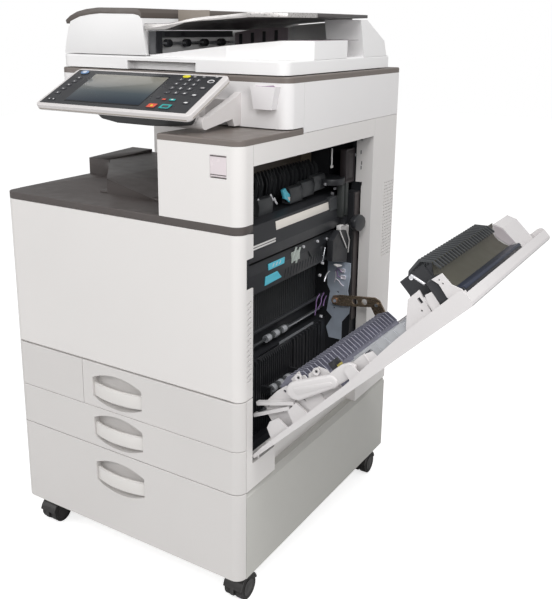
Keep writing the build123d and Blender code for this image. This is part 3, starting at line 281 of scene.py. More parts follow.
nylon = moulded("caster nylon", (44, 42, 42), 0.42, 900.0, 0.3, 0.08)
tread = moulded("tread rubber", (33, 31, 31), 0.62, 700.0, 0.5, 0.15)
wear(["rear_caster_forks", "front_left_fork", "front_right_fork"], nylon)
wear(["front_left_wheels", "front_right_wheels", "rear_left_wheels", "rear_right_wheels"], tread)
hub = start_rod("front_right_hub", (282, 46, 25), (284, 46, 25), 17)
sunk(hub, TO_RIGHT, 3, 1)
sunk(hub, TO_RIGHT, 6, -1.2)
finished(hub, "front_right_wheels", nylon, 0.3)
for side, dx, dy in (("front_left", -501, -10), ("rear_left", -501, 560), ("rear_right", 0, 560)):
    copied(hub, f"{side}_hub", (dx, dy, 0), f"{side}_wheels")

# Cabinet covers and drawer fronts: cool white ABS with a fine matte grain, 2.5 mm thick,
# snapped and screwed to the frame. The paper bank is painted steel, a little greyer, and each
# drawer front has a bowed grip bar in its recess.
cover_white = moulded("cover plastic", (226, 223, 221), 0.5, 1500.0, 0.16, 0.012)
drawer_white = moulded("drawer plastic", (214, 211, 209), 0.5, 1500.0, 0.16, 0.012)
bank_paint = moulded("bank paint", (196, 195, 190), 0.48, 700.0, 0.22, 0.02)
wear(["bank_case"], bank_paint)
wear(["left_front_panel", "tray_1_front", "tray_2_front", "bank_drawer_front"], drawer_white)
wear(
    [
        "front_cover", "left_cover", "rear_cover", "right_rear_cover",
        "right_upper_cover", "right_lower_cover", "tower_cover",
    ],
    cover_white,
)
# The scanner's case is a little whiter than the cabinet.
scanner_white = moulded("scanner plastic", (233, 231, 231), 0.5, 1500.0, 0.16, 0.012)
wear(["scanner_case"], scanner_white)
GRIP_LEFT, GRIP_LENGTH, GRIP_BOW, GRIP_THICK = -71, 130, 10.6, 7
GRIP_ENDS_Y = 4.2
GRIP_ABOVE_FOOT, GRIP_HEIGHT = 17.6, 29.4
grip_points = []
for i in range(13):
    along = i / 12
    bow = GRIP_BOW * (1 - (2 * along - 1) ** 2)
    grip_points.append((GRIP_LEFT + GRIP_LENGTH * along, GRIP_ENDS_Y - bow))
grip_points += [(x, y + GRIP_THICK) for x, y in reversed(grip_points)]
grip_white = moulded("grip plastic", (222, 219, 216), 0.4, 1500.0, 0.1, 0.01)
for body, foot in (("bank_drawer", 155), ("tray_2", 258), ("tray_1", 347.5)):
    grip_bar = start_plate(f"{body}_grip_bar", "z", foot + GRIP_ABOVE_FOOT, GRIP_HEIGHT, grip_points)
    finished(grip_bar, body, grip_white, 2.6, 3)
tub_grey = moulded("tub plastic", (165, 166, 168), 0.55, 900.0, 0.2, 0.03)
wear(["inner_cover", "bank_drawer", "tray_1", "tray_2"], tub_grey)

# Dark taupe trims: the deck, the shelf and the scanner's rim, in a coarser leather-like grain.
taupe = moulded("taupe plastic", (82, 76, 74), 0.36, 900.0, 0.35, 0.05)
wear(["output_deck"], taupe)
rim_taupe = moulded("rim plastic", (114, 106, 101), 0.34, 900.0, 0.35, 0.04)
wear(["scanner_top", "tower_top"], rim_taupe)
deck = cad_copy("trimmed_deck", "output_deck")
# The back of the deck's raised block is cut down to the deck's floor.
cutter = start_block("deck_cutter", (-300, 398, 771), (119, 560, 830))
pick(deck)
bpy.ops.object.modifier_add(type="BOOLEAN")
deck.modifiers[-1].operation = "DIFFERENCE"
deck.modifiers[-1].object = cutter
bpy.ops.object.modifier_apply(modifier=deck.modifiers[-1].name)
bpy.data.objects.remove(cutter)
finished(deck, "machine", taupe, 0)
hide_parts("output_deck")
output_stop = start_plate(
    "output_stop", "z", 768.6, 5.4,
    [(-120, 96), (34, 96), (38, 100), (38, 150), (20, 168), (-100, 168), (-124, 140)]
)
finished(output_stop, "machine", taupe, 2, 3)

# The works seen in the side opening: folded black sheet steel and black moulded guides.
black_sheet = moulded("black sheet", (40, 41, 44), 0.4, 500.0, 0.15, 0.15)
black_guide = moulded("black guide", (46, 47, 50), 0.34, 1100.0, 0.2, 0.12)
dark_grey = moulded("dark grey guide", (66, 68, 70), 0.36, 900.0, 0.2, 0.1)
wear(["main_frame"], black_sheet)
wear(["belt_unit", "fuser_unit", "feed_guide", "transfer_unit", "power_inlet"], black_guide)
toner = moulded("bottle plastic", (60, 60, 62), 0.4, 900.0, 0.2, 0.05)
wear(["toner_bottles"], toner)


def black_part(piece, round_off=0.5, steps=2, body="machine"):
    """Finished as a part of black guide plastic."""
    return finished(piece, body, black_guide, round_off, steps)


def white_part(piece, round_off=0.5, steps=2, body="machine"):
    """Finished as a small part of white guide plastic."""
    return finished(piece, body, guide_white, round_off, steps)


def plated(name, colour, rough, stretch, spread=0.12, metal=1.0):
    """Plated or brushed steel: streaks along one way and a mottled shine."""
    finish, shader, space = start_finish(name, rough, metal)
    clouded(finish, shader, space, linear(*colour), spread, 30.0)
    streaks = noise(finish, space, 300.0, 3.0, stretch)
    uneven_gloss(finish, shader, streaks, rough - 0.08, rough + 0.12)
    bumped(finish, shader, streaks, 0.12, GRAIN_HEIGHT)
    return finish


steel = plated("shaft steel", (206, 208, 212), 0.28, (1, 0.05, 1), 0.12, 0.85)
bright_zinc = plated("bright screw zinc", (236, 236, 240), 0.3, (1, 1, 1), 0.06, 0.5)
guide_white = moulded("guide white", (226, 224, 222), 0.42, 1200.0, 0.15, 0.03)
brown_sheet = moulded("brown shield", (74, 66, 57), 0.42, 300.0, 0.2, 0.12)
brown_light = moulded("shield end", (112, 102, 88), 0.45, 300.0, 0.2, 0.08)

# The paper exit high in the opening: a brownish heat shield, a comb of curved ribs and a row of
# roller holders with small bright zinc bits shaped as leaf springs, which are painted glints, with the
# cyan release lever among them.
shield = start_block("heat_shield", (153.2, 236, 803), (154.4, 448, 829))
finished(sunk(shield, TO_RIGHT, 3, 0.5), "machine", brown_sheet, 0.3)
shield_end = start_block("heat_shield_end", (153.2, 448, 803), (155.4, 494, 829))
finished(sunk(shield_end, TO_RIGHT, 2, 0.6), "machine", brown_light, 0.3)
comb_rib = start_plate(
    "exit_comb", "y", 246, 1.6,
    [(162, 754), (167, 768), (171, 786), (168, 800), (160, 808), (157, 804), (163, 794), (164, 784),
     (158, 766)],
)
finished(repeated(comb_rib, 15, (0, 18, 0)), "machine", dark_grey, 0)
holder = start_plate(
    "roller_holder", "y", 181, 52, [(194, 744), (196, 772), (203, 779), (212, 776), (216, 764), (214, 744)]
)
sunk(holder, TO_FRONT, 4, 2)
finished(holder, "machine", dark_grey, 1)
copies(holder, "roller_holder", ((0, 120, 4), (0, 170, 8), (2, 218, 14)), "machine")
# Small bright zinc bits, shaped as leaf springs, set where the holders glint: painted highlights.
glint_spring = start_plate(
    "leaf_spring_glint", "x", 210, 1.2,
    [(182, 778), (186, 780), (193, 770), (198, 766), (195, 763), (188, 768)],
)
finished(glint_spring, "machine", bright_zinc, 0.2)
glint_shifts = [
    (0, 46, 2), (0, 60, -8), (0, 166, -1), (0, 176, -8), (0, 222, 9), (0, 216, 0), (0, 228, -4),
]
copies(glint_spring, "leaf_spring_glint", glint_shifts, "machine")
cyan = moulded("cyan release plastic", (96, 205, 228), 0.35, 900.0, 0.15, 0.05)
lever = start_plate(
    "cyan_lever", "x", 208, 5,
    [(272, 782), (284, 785), (292, 776), (303, 768), (318, 756), (313, 749), (300, 752), (291, 759),
     (280, 763), (277, 772)],
)
finished(lever, "machine", cyan, 0.8)
tip = start_plate(
    "cyan_lever_mark", "x", 213.1, 1,
    [(292, 764), (300, 764), (311, 755), (308, 752), (298, 756)],
)
white_part(tip, 0.2)
gear = start_rod("exit_gear", (222, 462, 768), (222, 462, 782), 33, sides=48)
sunk(gear, TO_TOP, 6, 2)
black_part(gear, 1)
pin = start_rod("exit_pin", (235, 442, 811), (235, 442, 849), 1.7)
sunk(pin, TO_FLOOR, 0.3, -3)
white_part(pin, 0.2)
pin_foot = start_block("exit_pin_foot", (233, 438, 806), (237, 446, 812))
white_part(pin_foot, 1)

# The drive side at the right of the opening: dark folded ribs, a brown sensor block and
# zinc-plated screws with dished heads.
drive = start_block("drive_block", (234, 484, 766), (250, 526, 842))
sunk(drive, TO_RIGHT, 5, 3)
sunk(drive, TO_RIGHT, 6, -4)
purple_brown = moulded("drive plastic", (52, 46, 48), 0.36, 300.0, 0.5, 0.3)
finished(drive, "machine", purple_brown, 1)
fold = start_plate(
    "drive_fold", "z", 692, 76,
    [(238, 466), (250, 468), (252, 474), (246, 478), (246, 484), (238, 484)],
)
green_grey = moulded("duct plastic", (58, 61, 60), 0.4, 500.0, 0.2, 0.12)
finished(repeated(fold, 2, (0, 20, 0)), "machine", green_grey, 1)
channel = start_block("cable_channel", (262.2, 506, 440), (264, 527, 744))
sunk(channel, TO_RIGHT, 5, 1)
brown_grey = moulded("channel plastic", (72, 66, 66), 0.42, 500.0, 0.2, 0.06)
finished(channel, "machine", brown_grey, 0.4)
screw = start_rod("works_screw", (225, 430, 771), (230, 430, 771), 3.2)
sunk(screw, TO_RIGHT, 1.0, 0.8)
finished(screw, "machine", bright_zinc, 0.4)
screw_shifts = [
    (0, 12, -2), (2, 41, -16), (-2, 38, -27), (14, 106, 8), (20, 99, 54), (16, 83, -92),
    (3, -98, -118), (3, -36, -120), (3, 7, -124), (6, -16, -174), (-4, -8, -206), (0, -4, -304),
]
copies(screw, "works_screw", screw_shifts, "machine")
end_box = start_block("fuser_end_box", (228, 430, 711), (240, 474, 741))
finished(sunk(end_box, TO_RIGHT, 4, 1.5), "machine", dark_grey, 1.2)
white_latch = start_block("drive_latch", (238, 468, 646), (250, 500, 672))
sunk(white_latch, TO_RIGHT, 4, 3)
white_part(white_latch, 1)
latch_wing = start_plate(
    "drive_latch_wing", "x", 246, 6,
    [(500, 668), (527, 672), (530, 640), (520, 622), (514, 640), (502, 648)],
)
white_part(latch_wing, 1)
knob = start_plate(
    "jam_knob", "x", 270, 15,
    [(466, 690), (484, 697), (504, 696), (518, 688), (524, 676), (518, 664), (500, 658), (484, 662),
     (468, 672)],
)
black_part(knob, 4, 3)
CASE_BACK, CASE_DEPTH = 240, 15
CASE_FACE = CASE_BACK + CASE_DEPTH + 0.1
case = start_plate(
    "drive_case", "x", CASE_BACK, CASE_DEPTH,
    [(422, 650), (452, 665), (484, 661), (500, 634), (495, 606), (492, 584), (421, 602)]
)
sunk(case, TO_RIGHT, 5, 2)
black_part(case, 1.2)
edge_left = start_plate("case_edge", "x", CASE_FACE, 1.4, [(450, 665), (453, 666), (488, 620), (486, 617)])
white_part(edge_left, 0.3)
edge_right = start_plate(
    "case_edge_2", "x", CASE_FACE, 1.4,
    [(483, 662), (486, 662), (502, 634), (497, 606), (494, 606), (498, 633)],
)
white_part(edge_right, 0.3)

# The opening's rear jamb is part of a white cover. Four short slots go down its edge, and each
# is a small dark block here: painted shade for the dark inside of the slot.
jamb_slot = start_block("jamb_slot", (290.6, 468, 838), (291.6, 471, 846))
black_part(jamb_slot, 0.2)
copies(jamb_slot, "jamb_slot", ((0, 5, -24), (0, 3, -34), (0, 8, -70)), "machine")

# The fuser's slanted front: a bare cream strip where the real one has its notice, a double white
# line, and below it the black transfer bar with two cyan grip plates and a grey catch.
cream = moulded("cream film", (236, 230, 222), 0.4, 300.0, 0.05, 0.03)
strip = start_plate(
    "blank_strip", "y", 210, 223,
    [(237.0, 715.5), (234.9, 732.6), (235.5, 732.7), (237.6, 715.6)],
)
finished(strip, "machine", cream, 0.15)
line = start_block("fuser_line", (238.6, 60, 698.8), (240.2, 204, 702))
white_part(line, 0.3)
copies(line, "fuser_line", ((0, 0, -5),), "machine")
grip = start_plate("cyan_grip", "x", 231.4, 1.8, [(189, 650), (252, 650), (250, 637), (190, 637)])
sunk(grip, TO_RIGHT, 2.5, 0.5)
finished(grip, "machine", cyan, 0.4)
slant = start_plate("cyan_foot", "x", 229.4, 1.6, [(183, 625), (227, 626), (244, 609), (180, 607)])
sunk(slant, TO_RIGHT, 2.5, 0.4)
finished(slant, "machine", cyan, 0.4)
mark = start_plate("grip_mark", "x", 233.1, 0.4, [(203, 641), (206, 641), (211, 647), (208, 647)])
white_part(repeated(mark, 3, (0, 13, 0)), 0)
catch = start_block("bar_catch", (230.5, 280, 632), (234, 312, 652))
sunk(catch, TO_RIGHT, 3, 2)
sunk(catch, TO_RIGHT, 6, -2)
pale_catch = moulded("catch plastic", (176, 184, 178), 0.4, 400.0, 0.5, 0.2)
finished(catch, "machine", pale_catch)
catch_fin = start_plate("catch_fin", "x", 232, 2.4, [(279, 630), (284, 630), (300, 660), (296, 661)])
finished(repeated(catch_fin, 2, (0, 16, -4)), "machine", pale_catch, 0.3)
rod = start_rod("link_rod", (234, 424, 631), (234, 412, 597), 1.4)
finished(rod, "machine", steel, 0.2)
bar_link = start_rod("bar_link", (232.5, 351, 640), (232.5, 366, 622), 1.6)
finished(bar_link, "machine", dark_grey, 0.2)
tab = start_plate("case_tab", "x", 250, 1.5, [(434, 592), (450, 589), (474, 581), (476, 577), (452, 581)])
white_part(tab, 0.4)
bar_rib = start_plate("bar_rib", "y", 262, 1.4, [(226, 602), (229.6, 622), (231, 622), (227.6, 601)])
finished(repeated(bar_rib, 14, (0, 12, 0)), "machine", dark_grey, 0)


def wire(name, points, radius, finish, body):
    """A short fixed wire: a smooth line through its points, made a mesh."""
    curve = bpy.data.curves.new(name, "CURVE")
    curve.dimensions = "3D"
    curve.bevel_depth = radius * MM
    curve.bevel_resolution = 2
    curve.use_fill_caps = True
    curve.resolution_u = 6
    spline = curve.splines.new("NURBS")
    spline.points.add(len(points) - 1)
    for knot, place in zip(spline.points, points):
        knot.co = (*(CABINET @ Vector(place)), 1)
    spline.order_u = 3
    spline.use_endpoint_u = True
    piece = bpy.data.objects.new(name, curve)
    bpy.context.scene.collection.objects.link(piece)
    pick(piece)
    bpy.ops.object.convert(target="MESH")
    return finished(bpy.context.object, body, finish, 0)


# The zinc-plated hinge plate and what hangs on it: a small harness of white and lilac wires with two
# white connectors, clipped beside the stay's pivot.
blue_steel = plated("zinc plate", (186, 196, 210), 0.42, (1, 1, 0.2), 0.1, 0.25)
bronze = plated("bronze plate", (158, 140, 120), 0.26, (0.2, 1, 1), 0.3, 0.75)
wear(["hinge_plate"], blue_steel)
wear(["door_stay"], bronze)
lilac = moulded("lilac insulation", (150, 120, 170), 0.4, 600.0, 0.1, 0.1)
white_wire = moulded("white insulation", (226, 222, 230), 0.4, 600.0, 0.1, 0.05)
plug = start_block("harness_plug", (240, 493, 541), (252, 497, 549))
sunk(plug, TO_FRONT, 1.5, 1.5)
finished(plug, "machine", white_wire)
copies(plug, "harness_plug", ((-2, 0, 16),), "machine")
for number, points in enumerate((
    [(226, 495, 560), (232, 494, 554), (230, 494, 545), (240, 494, 543)],
    [(228, 494, 538), (236, 493, 536), (240, 494, 528), (248, 494, 524)],
    [(230, 494, 566), (238, 493, 562), (242, 494, 556)],
    [(224, 494, 530), (230, 493, 545), (226, 494, 556)],
)):
    wire(f"harness_{number}", points, 1.1, white_wire if number % 2 else lilac, "machine")
for number, points in enumerate((
    [(212, 446, 512), (206, 440, 500), (208, 438, 480), (206, 436, 462)],
    [(216, 460, 512), (210, 456, 500), (214, 452, 488), (208, 446, 476)],
    [(220, 464, 504), (214, 462, 492), (216, 458, 480)],
)):
    wire(f"sensor_lead_{number}", points, 1.2, lilac, "machine")
wire(
    "bar_spring",
    [(229, 458, 566), (229, 450, 566), (229, 440, 558),
     (229, 434, 548)], 1.6, bright_zinc, "machine",
)
boss = start_rod("pivot_boss", (231, 483.6, 488), (231, 486.8, 488), 6.5)
sunk(boss, TO_FRONT, 2, 1)
copper = plated("copper boss", (214, 176, 150), 0.28, (1, 1, 1), 0.15, 0.85)
finished(boss, "door_stay", copper)
stay_washer = start_rod("stay_washer", (336, 483.2, 497), (336, 484, 497), 4)
finished(sunk(stay_washer, TO_FRONT, 1.2, 0.4), "door_stay", steel, 0.2)

# The paper path low in the opening: light grey rollers on plated shafts, a guide rail, and a
# zinc bracket with a bright cover bar under it.
roller_grey = moulded("roller plastic", (172, 174, 178), 0.45, 900.0, 0.3, 0.06)
wear(["registration_roller", "feed_roller"], dark_grey)
path_roller = start_rod("path_roller", (189, 250, 462), (189, 266, 462), 7.9)
sunk(path_roller, TO_FRONT, 2.2, 1)
finished(path_roller, "registration_roller", roller_grey, 0.8)
copies(path_roller, "path_roller", ((0, 32, 0), (0, 64, 0)), "registration_roller")
pick_roller = start_rod("pick_roller", (222, 222.5, 367), (222, 235.5, 367), 8.4)
sunk(pick_roller, TO_FRONT, 2.4, 1)
finished(pick_roller, "feed_roller", roller_grey, 0.8)
copies(pick_roller, "pick_roller", ((0, 28, 0), (0, 59, 0)), "feed_roller")
rail = start_rod("path_rail", (200, 60, 499), (200, 482, 499), 4)
sunk(rail, TO_FRONT, 1, -2)
black_part(rail)
path_shaft = start_rod("path_shaft", (199, 330, 467), (199, 470, 467), 1.6)
finished(path_shaft, "machine", steel, 0.3)
bracket = start_block("path_bracket", (198.4, 204, 428), (201, 286, 439))
sunk(bracket, TO_RIGHT, 2.5, 1)
finished(bracket, "machine", blue_steel, 0.4)
bar = start_block("path_bar", (198.4, 290, 437), (200.6, 440, 444))
sunk(bar, TO_RIGHT, 1.6, 0.8)
grey_bar = moulded("cover bar", (128, 130, 134), 0.4, 800.0, 0.2, 0.05)
finished(bar, "machine", grey_bar, 0.3)
fine_rib = start_plate("path_rib", "y", 64, 2, [(179, 480), (183, 482), (183, 586), (179, 588)])
finished(repeated(fine_rib, 52, (0, 8, 0)), "machine", dark_grey, 0)
low_rib = start_plate("feed_rib", "y", 84, 2, [(201, 270), (206, 274), (206, 428), (201, 434)])
black_part(repeated(low_rib, 48, (0, 8, 0)), 0)
cover_knob = start_rod("cover_knob", (264, 31.4, 688), (280, 31.4, 688), 13.6)
sunk(cover_knob, TO_RIGHT, 4, 2)
black_part(cover_knob, 2, 3)
can = start_rod("cover_can", (262, 33, 663), (280, 33, 663), 10)
sunk(can, TO_RIGHT, 2, 1)
can_grey = moulded("can plastic", (170, 168, 168), 0.4, 900.0, 0.1, 0.04)
finished(can, "machine", can_grey, 1.5, 3)

# The side door, open on its stay: a white shell with a white inner frame, a grey see-through
# duplex guide, the clear inner guide, and the black transfer box with its ribs and olive face.
# On its seat x runs up the door from the hinge and z stands off the shell, at the rest pose.
LEAN = math.radians(46)
HINGE_X, HINGE_Z, SHELL_OFFSET = 289, 313, 3
DOOR = CABINET @ Matrix((
    (math.sin(LEAN), 0, -math.cos(LEAN), HINGE_X + SHELL_OFFSET * math.cos(LEAN)),
    (0, 1, 0, 0),
    (math.cos(LEAN), 0, math.sin(LEAN), HINGE_Z - SHELL_OFFSET * math.sin(LEAN)),
    (0, 0, 0, 1),
))
door_white = moulded("door plastic", (214, 211, 211), 0.46, 1500.0, 0.16, 0.015)
wear(["door_shell", "door_frame", "jam_lever"], door_white)


def door_part(piece, round_off=0.5, steps=2, body="side_door"):
    """Finished as a part in the door's own white plastic."""
    return finished(piece, body, door_white, round_off, steps)


clear, clear_shader, clear_space = start_finish("clear guide", 0.15)
clear_shader.inputs["Base Color"].default_value = linear(214, 216, 220)
clear_shader.inputs["Transmission Weight"].default_value = 0.45
clear_shader.inputs["IOR"].default_value = 1.45
bumped(clear, clear_shader, noise(clear, clear_space, 60.0, 2.0), 0.15, 0.0005)
wear(["clear_guide"], clear)
smoke = moulded("smoky guide", (122, 122, 136), 0.26, 500.0, 0.15, 0.3)
rib_edge_highlight = moulded("smoky rib highlight", (186, 186, 198), 0.26, 500.0, 0.1, 0.12)
wear(["duplex_guide"], smoke)
# Pale strips along the rib edges of the duplex guide: painted highlights.
duplex_edge = start_plate(
    "duplex_rib_edges", "y", 74.6, 1.2,
    [(131.6, 37.6), (133.6, 78.4), (160, 85.5), (186.4, 76.3), (192.4, 49.6),
     (191, 50), (185.6, 75), (160, 84), (135, 77.6), (133, 38)],
    DOOR,
)
finished(repeated(duplex_edge, 29, (0, 14, 0), DOOR), "side_door", rib_edge_highlight, 0)
capsule = start_plate(
    "lever_capsule", "y", 50.4, 15.2,
    [(157.6, 44.6), (154, 51), (153.4, 59.4), (157, 67), (164, 71.4), (171.6, 72.6), (179.4, 71),
     (256, 41.6), (261, 35), (261, 26),
     (257, 19.8), (250.6, 17.6), (166, 37)],
    DOOR,
)
door_part(capsule, 5, 4, body="jam_lever")
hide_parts("jam_lever")
neck = start_plate(
    "lever_neck", "y", 54, 10,
    [(244, 24), (244, 44), (264, 45.4), (284, 45), (299, 40.4), (307, 30), (300, 21.6), (290, 17.6),
     (262, 18.6), (250, 20)], DOOR,
)
door_part(neck, 2.5, 3, body="jam_lever")
inlay = start_plate(
    "lever_inlay", "y", 49.6, 1.2,
    [(172, 47), (170, 57), (176, 61), (248, 33), (250, 27), (246, 25.6)], DOOR,
)
door_part(inlay, 0.6, body="jam_lever")
SECOND_EYE = (36, 6, -10)
eye = start_rod("frame_eye", (190, 58, 71), (190, 61.4, 71), 7, DOOR)
sunk(eye, TO_FRONT, 3.4, 2)
door_part(eye, 0.6)
copies(eye, "frame_eye", (SECOND_EYE,), "side_door", DOOR)
# A black disc inside each eye stands for its hole: painted shade.
eye_hole = start_rod("eye_hole", (190, 59.8, 71), (190, 60.2, 71), 2.6, DOOR)
black_part(eye_hole, 0, body="side_door")
copies(eye_hole, "eye_hole", (SECOND_EYE,), "side_door", DOOR)
near_wall = start_plate(
    "door_near_wall", "y", 66.3, 1.6,
    [(296, 12), (296, 37), (322, 38), (346, 33), (350, 12)], DOOR,
)
door_part(near_wall)
near_rib = start_plate(
    "door_near_rib", "y", 64.6, 2,
    [(325.6, 14), (328, 38), (331, 38), (328.6, 14)], DOOR,
)
door_part(near_rib, 0.4)
clear_wall = start_plate(
    "door_clear_wall", "y", 66.3, 1.4,
    [(348, 10), (346, 40), (420, 42), (472, 34), (478, 10)], DOOR,
)
finished(clear_wall, "side_door", clear, 0.4)
clear_rib = start_plate(
    "door_clear_rib", "y", 65, 1.4,
    [(360, 12), (358, 40), (360.4, 40), (362.4, 12)], DOOR,
)
finished(repeated(clear_rib, 5, (22, 0, 0), DOOR), "side_door", clear, 0.2)
lever_cap = start_rod("lever_cap", (298, 48.9, 30), (298, 50.6, 30), 6, DOOR)
door_part(sunk(lever_cap, TO_FRONT, 1.5, 0.6), 0.6, body="jam_lever")
box = start_plate(
    "transfer_box", "y", 100, 325.4,
    [(446, 5), (446, 66), (458, 92), (516.8, 91.6), (508.6, 82), (504.2, 74), (503, 67), (504.6, 57),
     (508.4, 47), (514, 37), (534, 30), (534, 5)],
    DOOR,
)
black_part(box, 1.2, body="side_door")
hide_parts("transfer_unit")
fan_rib = start_plate(
    "transfer_ribs", "y", 104, 2.6,
    [(454, 86), (472, 104), (500, 109.4), (519, 92), (523, 76), (520, 74), (515, 90), (499, 104),
     (475, 100), (460, 84)],
    DOOR,
)
finished(repeated(fan_rib, 23, (0, 13, 0), DOOR), "side_door", dark_grey, 0.3)
olive = moulded("olive seal face", (70, 68, 58), 0.42, 25.0, 0.3, 0.12)
olive_face = start_plate(
    "olive_face", "y", 103, 321,
    [(517.8, 92), (509.4, 82), (505, 74), (503.8, 67), (505.4, 57), (509.2, 47), (514.6, 37.6), (512, 37),
     (501, 67), (515, 92)], DOOR
)
finished(olive_face, "side_door", olive, 0)
navy = moulded("navy strip", (44, 50, 66), 0.35, 400.0, 0.2, 0.1)
navy_strip = start_plate(
    "navy_strip", "y", 103, 321,
    [(514.6, 38), (535, 31), (535.4, 26), (533, 26), (533, 29), (513, 36)], DOOR
)
finished(navy_strip, "side_door", navy, 0.3)
funnel = start_plate(
    "door_funnel", "y", 60, 36,
    [(504, 71), (513, 72), (521, 68), (524, 57), (520, 46), (520.5, 34), (525, 28), (529, 22), (507, 22),
     (502, 34), (503, 50)],
    DOOR,
)
black_part(funnel, 3, 3, body="side_door")
wing = start_plate(
    "door_wing", "y", 60, 3,
    [(491, 56), (504, 54), (503, 40), (501, 22), (483, 21), (487, 42)], DOOR,
)
door_part(sunk(wing, TO_FRONT, 3, 0.8), 0.6)
wing_edge = start_block("door_wing_edge", (483, 63, 20), (488, 96, 54), DOOR)
door_part(wing_edge, 1)
bolt = start_rod("transfer_bolt", (474, 98.4, 96), (484, 98.4, 70), 2.4, DOOR)
finished(bolt, "side_door", bright_zinc, 0.6)
bolt_head = start_rod("transfer_bolt_head", (472, 96, 92), (472, 100, 92), 4, DOOR)
finished(sunk(bolt_head, TO_FRONT, 1.2, 0.8), "side_door", bright_zinc, 0.4)
end_plate = start_block("transfer_end", (450, 97, 20), (503, 99.8, 98), DOOR)
sunk(end_plate, TO_FRONT, 5, 1.5)
black_part(end_plate, 0.8, body="side_door")
hinge_face = start_plate(
    "end_block_face", "y", 425.6, 0.5,
    [(503.6, 68), (516.6, 86), (525.6, 72), (528.6, 36), (515, 36.6)], DOOR
)
# The end block's face is a darkened white: painted shade.
painted_shade_white = moulded("shaded white plastic", (196, 189, 192), 0.45, 900.0, 0.15, 0.03)
finished(sunk(hinge_face, TO_FRONT, 2.5, 0.3), "side_door", painted_shade_white, 0.2)
yellow_clip = start_block("guide_clip", (264, 74, 45), (271, 84, 49), DOOR)
yellow = moulded("yellow plastic", (172, 160, 84), 0.4, 900.0, 0.15, 0.05)
finished(sunk(yellow_clip, TO_FRONT, 1.5, 1), "side_door", yellow, 0.8)
black_clip = start_block("guide_latch", (250, 74, 40), (262, 96, 60), DOOR)
black_part(sunk(black_clip, TO_FRONT, 2, 1.5), 1, body="side_door")
strut_bar = start_block("strut_bar", (66, 60, 60), (84, 64, 66), DOOR)
black_part(strut_bar, 0.6, body="side_door")

# The operation panel: white case with a warm grey joint line, black face with a glossy display
# whose reflection is painted on as a gradient, rubber keys with plain figures, and coloured caps for
# home, stop and start.
# On its seat x runs along the lower edge, y up the face and z out of it.
TILT = math.radians(26.72)
PANEL_CORNER = (-185.7, -3.9, 952.8)
PANEL = CABINET @ Matrix((
    (1, 0, 0, PANEL_CORNER[0]),
    (0, math.cos(TILT), -math.sin(TILT), PANEL_CORNER[1]),
    (0, math.sin(TILT), math.cos(TILT), PANEL_CORNER[2]),
    (0, 0, 0, 1),
))
KEY_TOP, PRINT = 0.7, 0.75
face_out = PANEL.to_3x3() @ Vector((0, 0, 1))
panel_white = moulded("panel plastic", (213, 209, 208), 0.4, 1500.0, 0.12, 0.01)
panel_black = moulded("panel face", (46, 47, 50), 0.3, 1500.0, 0.1, 0.05)
key_black = moulded("key plastic", (66, 66, 70), 0.4, 1200.0, 0.2, 0.05)
wear(["panel_case", "panel_arm"], panel_white)
wear(["panel_screen"], panel_black)
wear(["function_keys", "number_keys", "operation_keys", "power_switch"], key_black)
bezel = start_block("display_bezel", (61, 21, -0.8), (249, 124, 0.2), PANEL)
sunk(bezel, face_out, 12, 0.6)
bezel_black = moulded("bezel gloss", (38, 39, 42), 0.2, 1500.0, 0.05, 0.05)
finished(bezel, "panel", bezel_black, 0.3)
# The display's colour runs from dark blue at its foot to warm grey at its head: a painted reflection.
display, display_shader, display_space = start_finish("display glass with painted reflection", 0.12)
slope = display.node_tree.nodes.new("ShaderNodeSeparateXYZ")
display.node_tree.links.new(display_space, slope.inputs["Vector"])
level = display.node_tree.nodes.new("ShaderNodeMapRange")
DISPLAY_FOOT, DISPLAY_HEAD = 0.965, 1.007
level.inputs["From Min"].default_value = DISPLAY_FOOT
level.inputs["From Max"].default_value = DISPLAY_HEAD
display.node_tree.links.new(slope.outputs["Z"], level.inputs["Value"])
painted_reflection_stops = [
    (0.0, linear(34, 44, 56)), (0.35, linear(62, 72, 78)),
    (0.75, linear(122, 122, 116)), (1.0, linear(136, 134, 124)),
]
shaded = ramp(display, level.outputs["Result"], painted_reflection_stops)
display.node_tree.links.new(shaded, display_shader.inputs["Base Color"])
bumped(display, display_shader, noise(display, display_space, 3000.0, 1.0), 0.02, 0.00005)
pane = start_block("display_pane", (63, 23.4, -0.4), (247, 121.6, 0.5), PANEL)
finished(pane, "panel", display, 0.15)
warm_grey = moulded("joint line", (158, 150, 140), 0.4, 900.0, 0.1, 0.03)
joint = start_block("case_joint", (9, -0.35, -9.4), (368, 0.5, -7.6), PANEL)
finished(joint, "panel", warm_grey, 0.2)
joint_side = start_block("case_joint_side", (375.4, 9, -9.4), (376.35, 131, -7.8), PANEL)
finished(joint_side, "panel", warm_grey, 0.2)
belly = start_block("panel_belly", (128, 26, -34), (282, 112, -13.6), PANEL)
belly_black = moulded("belly plastic", (48, 49, 50), 0.4, 900.0, 0.2, 0.05)
finished(sunk(belly, -face_out, 20, -2), "panel", belly_black, 5, 3)
front_belly = start_plate(
    "panel_belly_front", "y", 9, 13,
    [(146, -13.6), (155, -28), (191, -34.4), (274, -34.6), (326, -31), (366, -26), (375, -13.6)], PANEL
)
finished(front_belly, "panel", belly_black, 4, 3)


def oval(u, v, a, b, steps=20):
    """The outline of an ellipse, corner by corner."""
    turns = [2 * math.pi * i / steps for i in range(steps)]
    return [(u + a * math.cos(t), v + b * math.sin(t)) for t in turns]


def key_piece(name, level, thick, corners, body, finish, round_off=0.1, ring=None):
    """A cap or a print on the panel's face; a ring is one with its middle sunk."""
    piece = start_plate(name, "z", level, thick, corners, PANEL)
    if ring:
        sunk(piece, face_out, *ring)
    return finished(piece, body, finish, round_off)


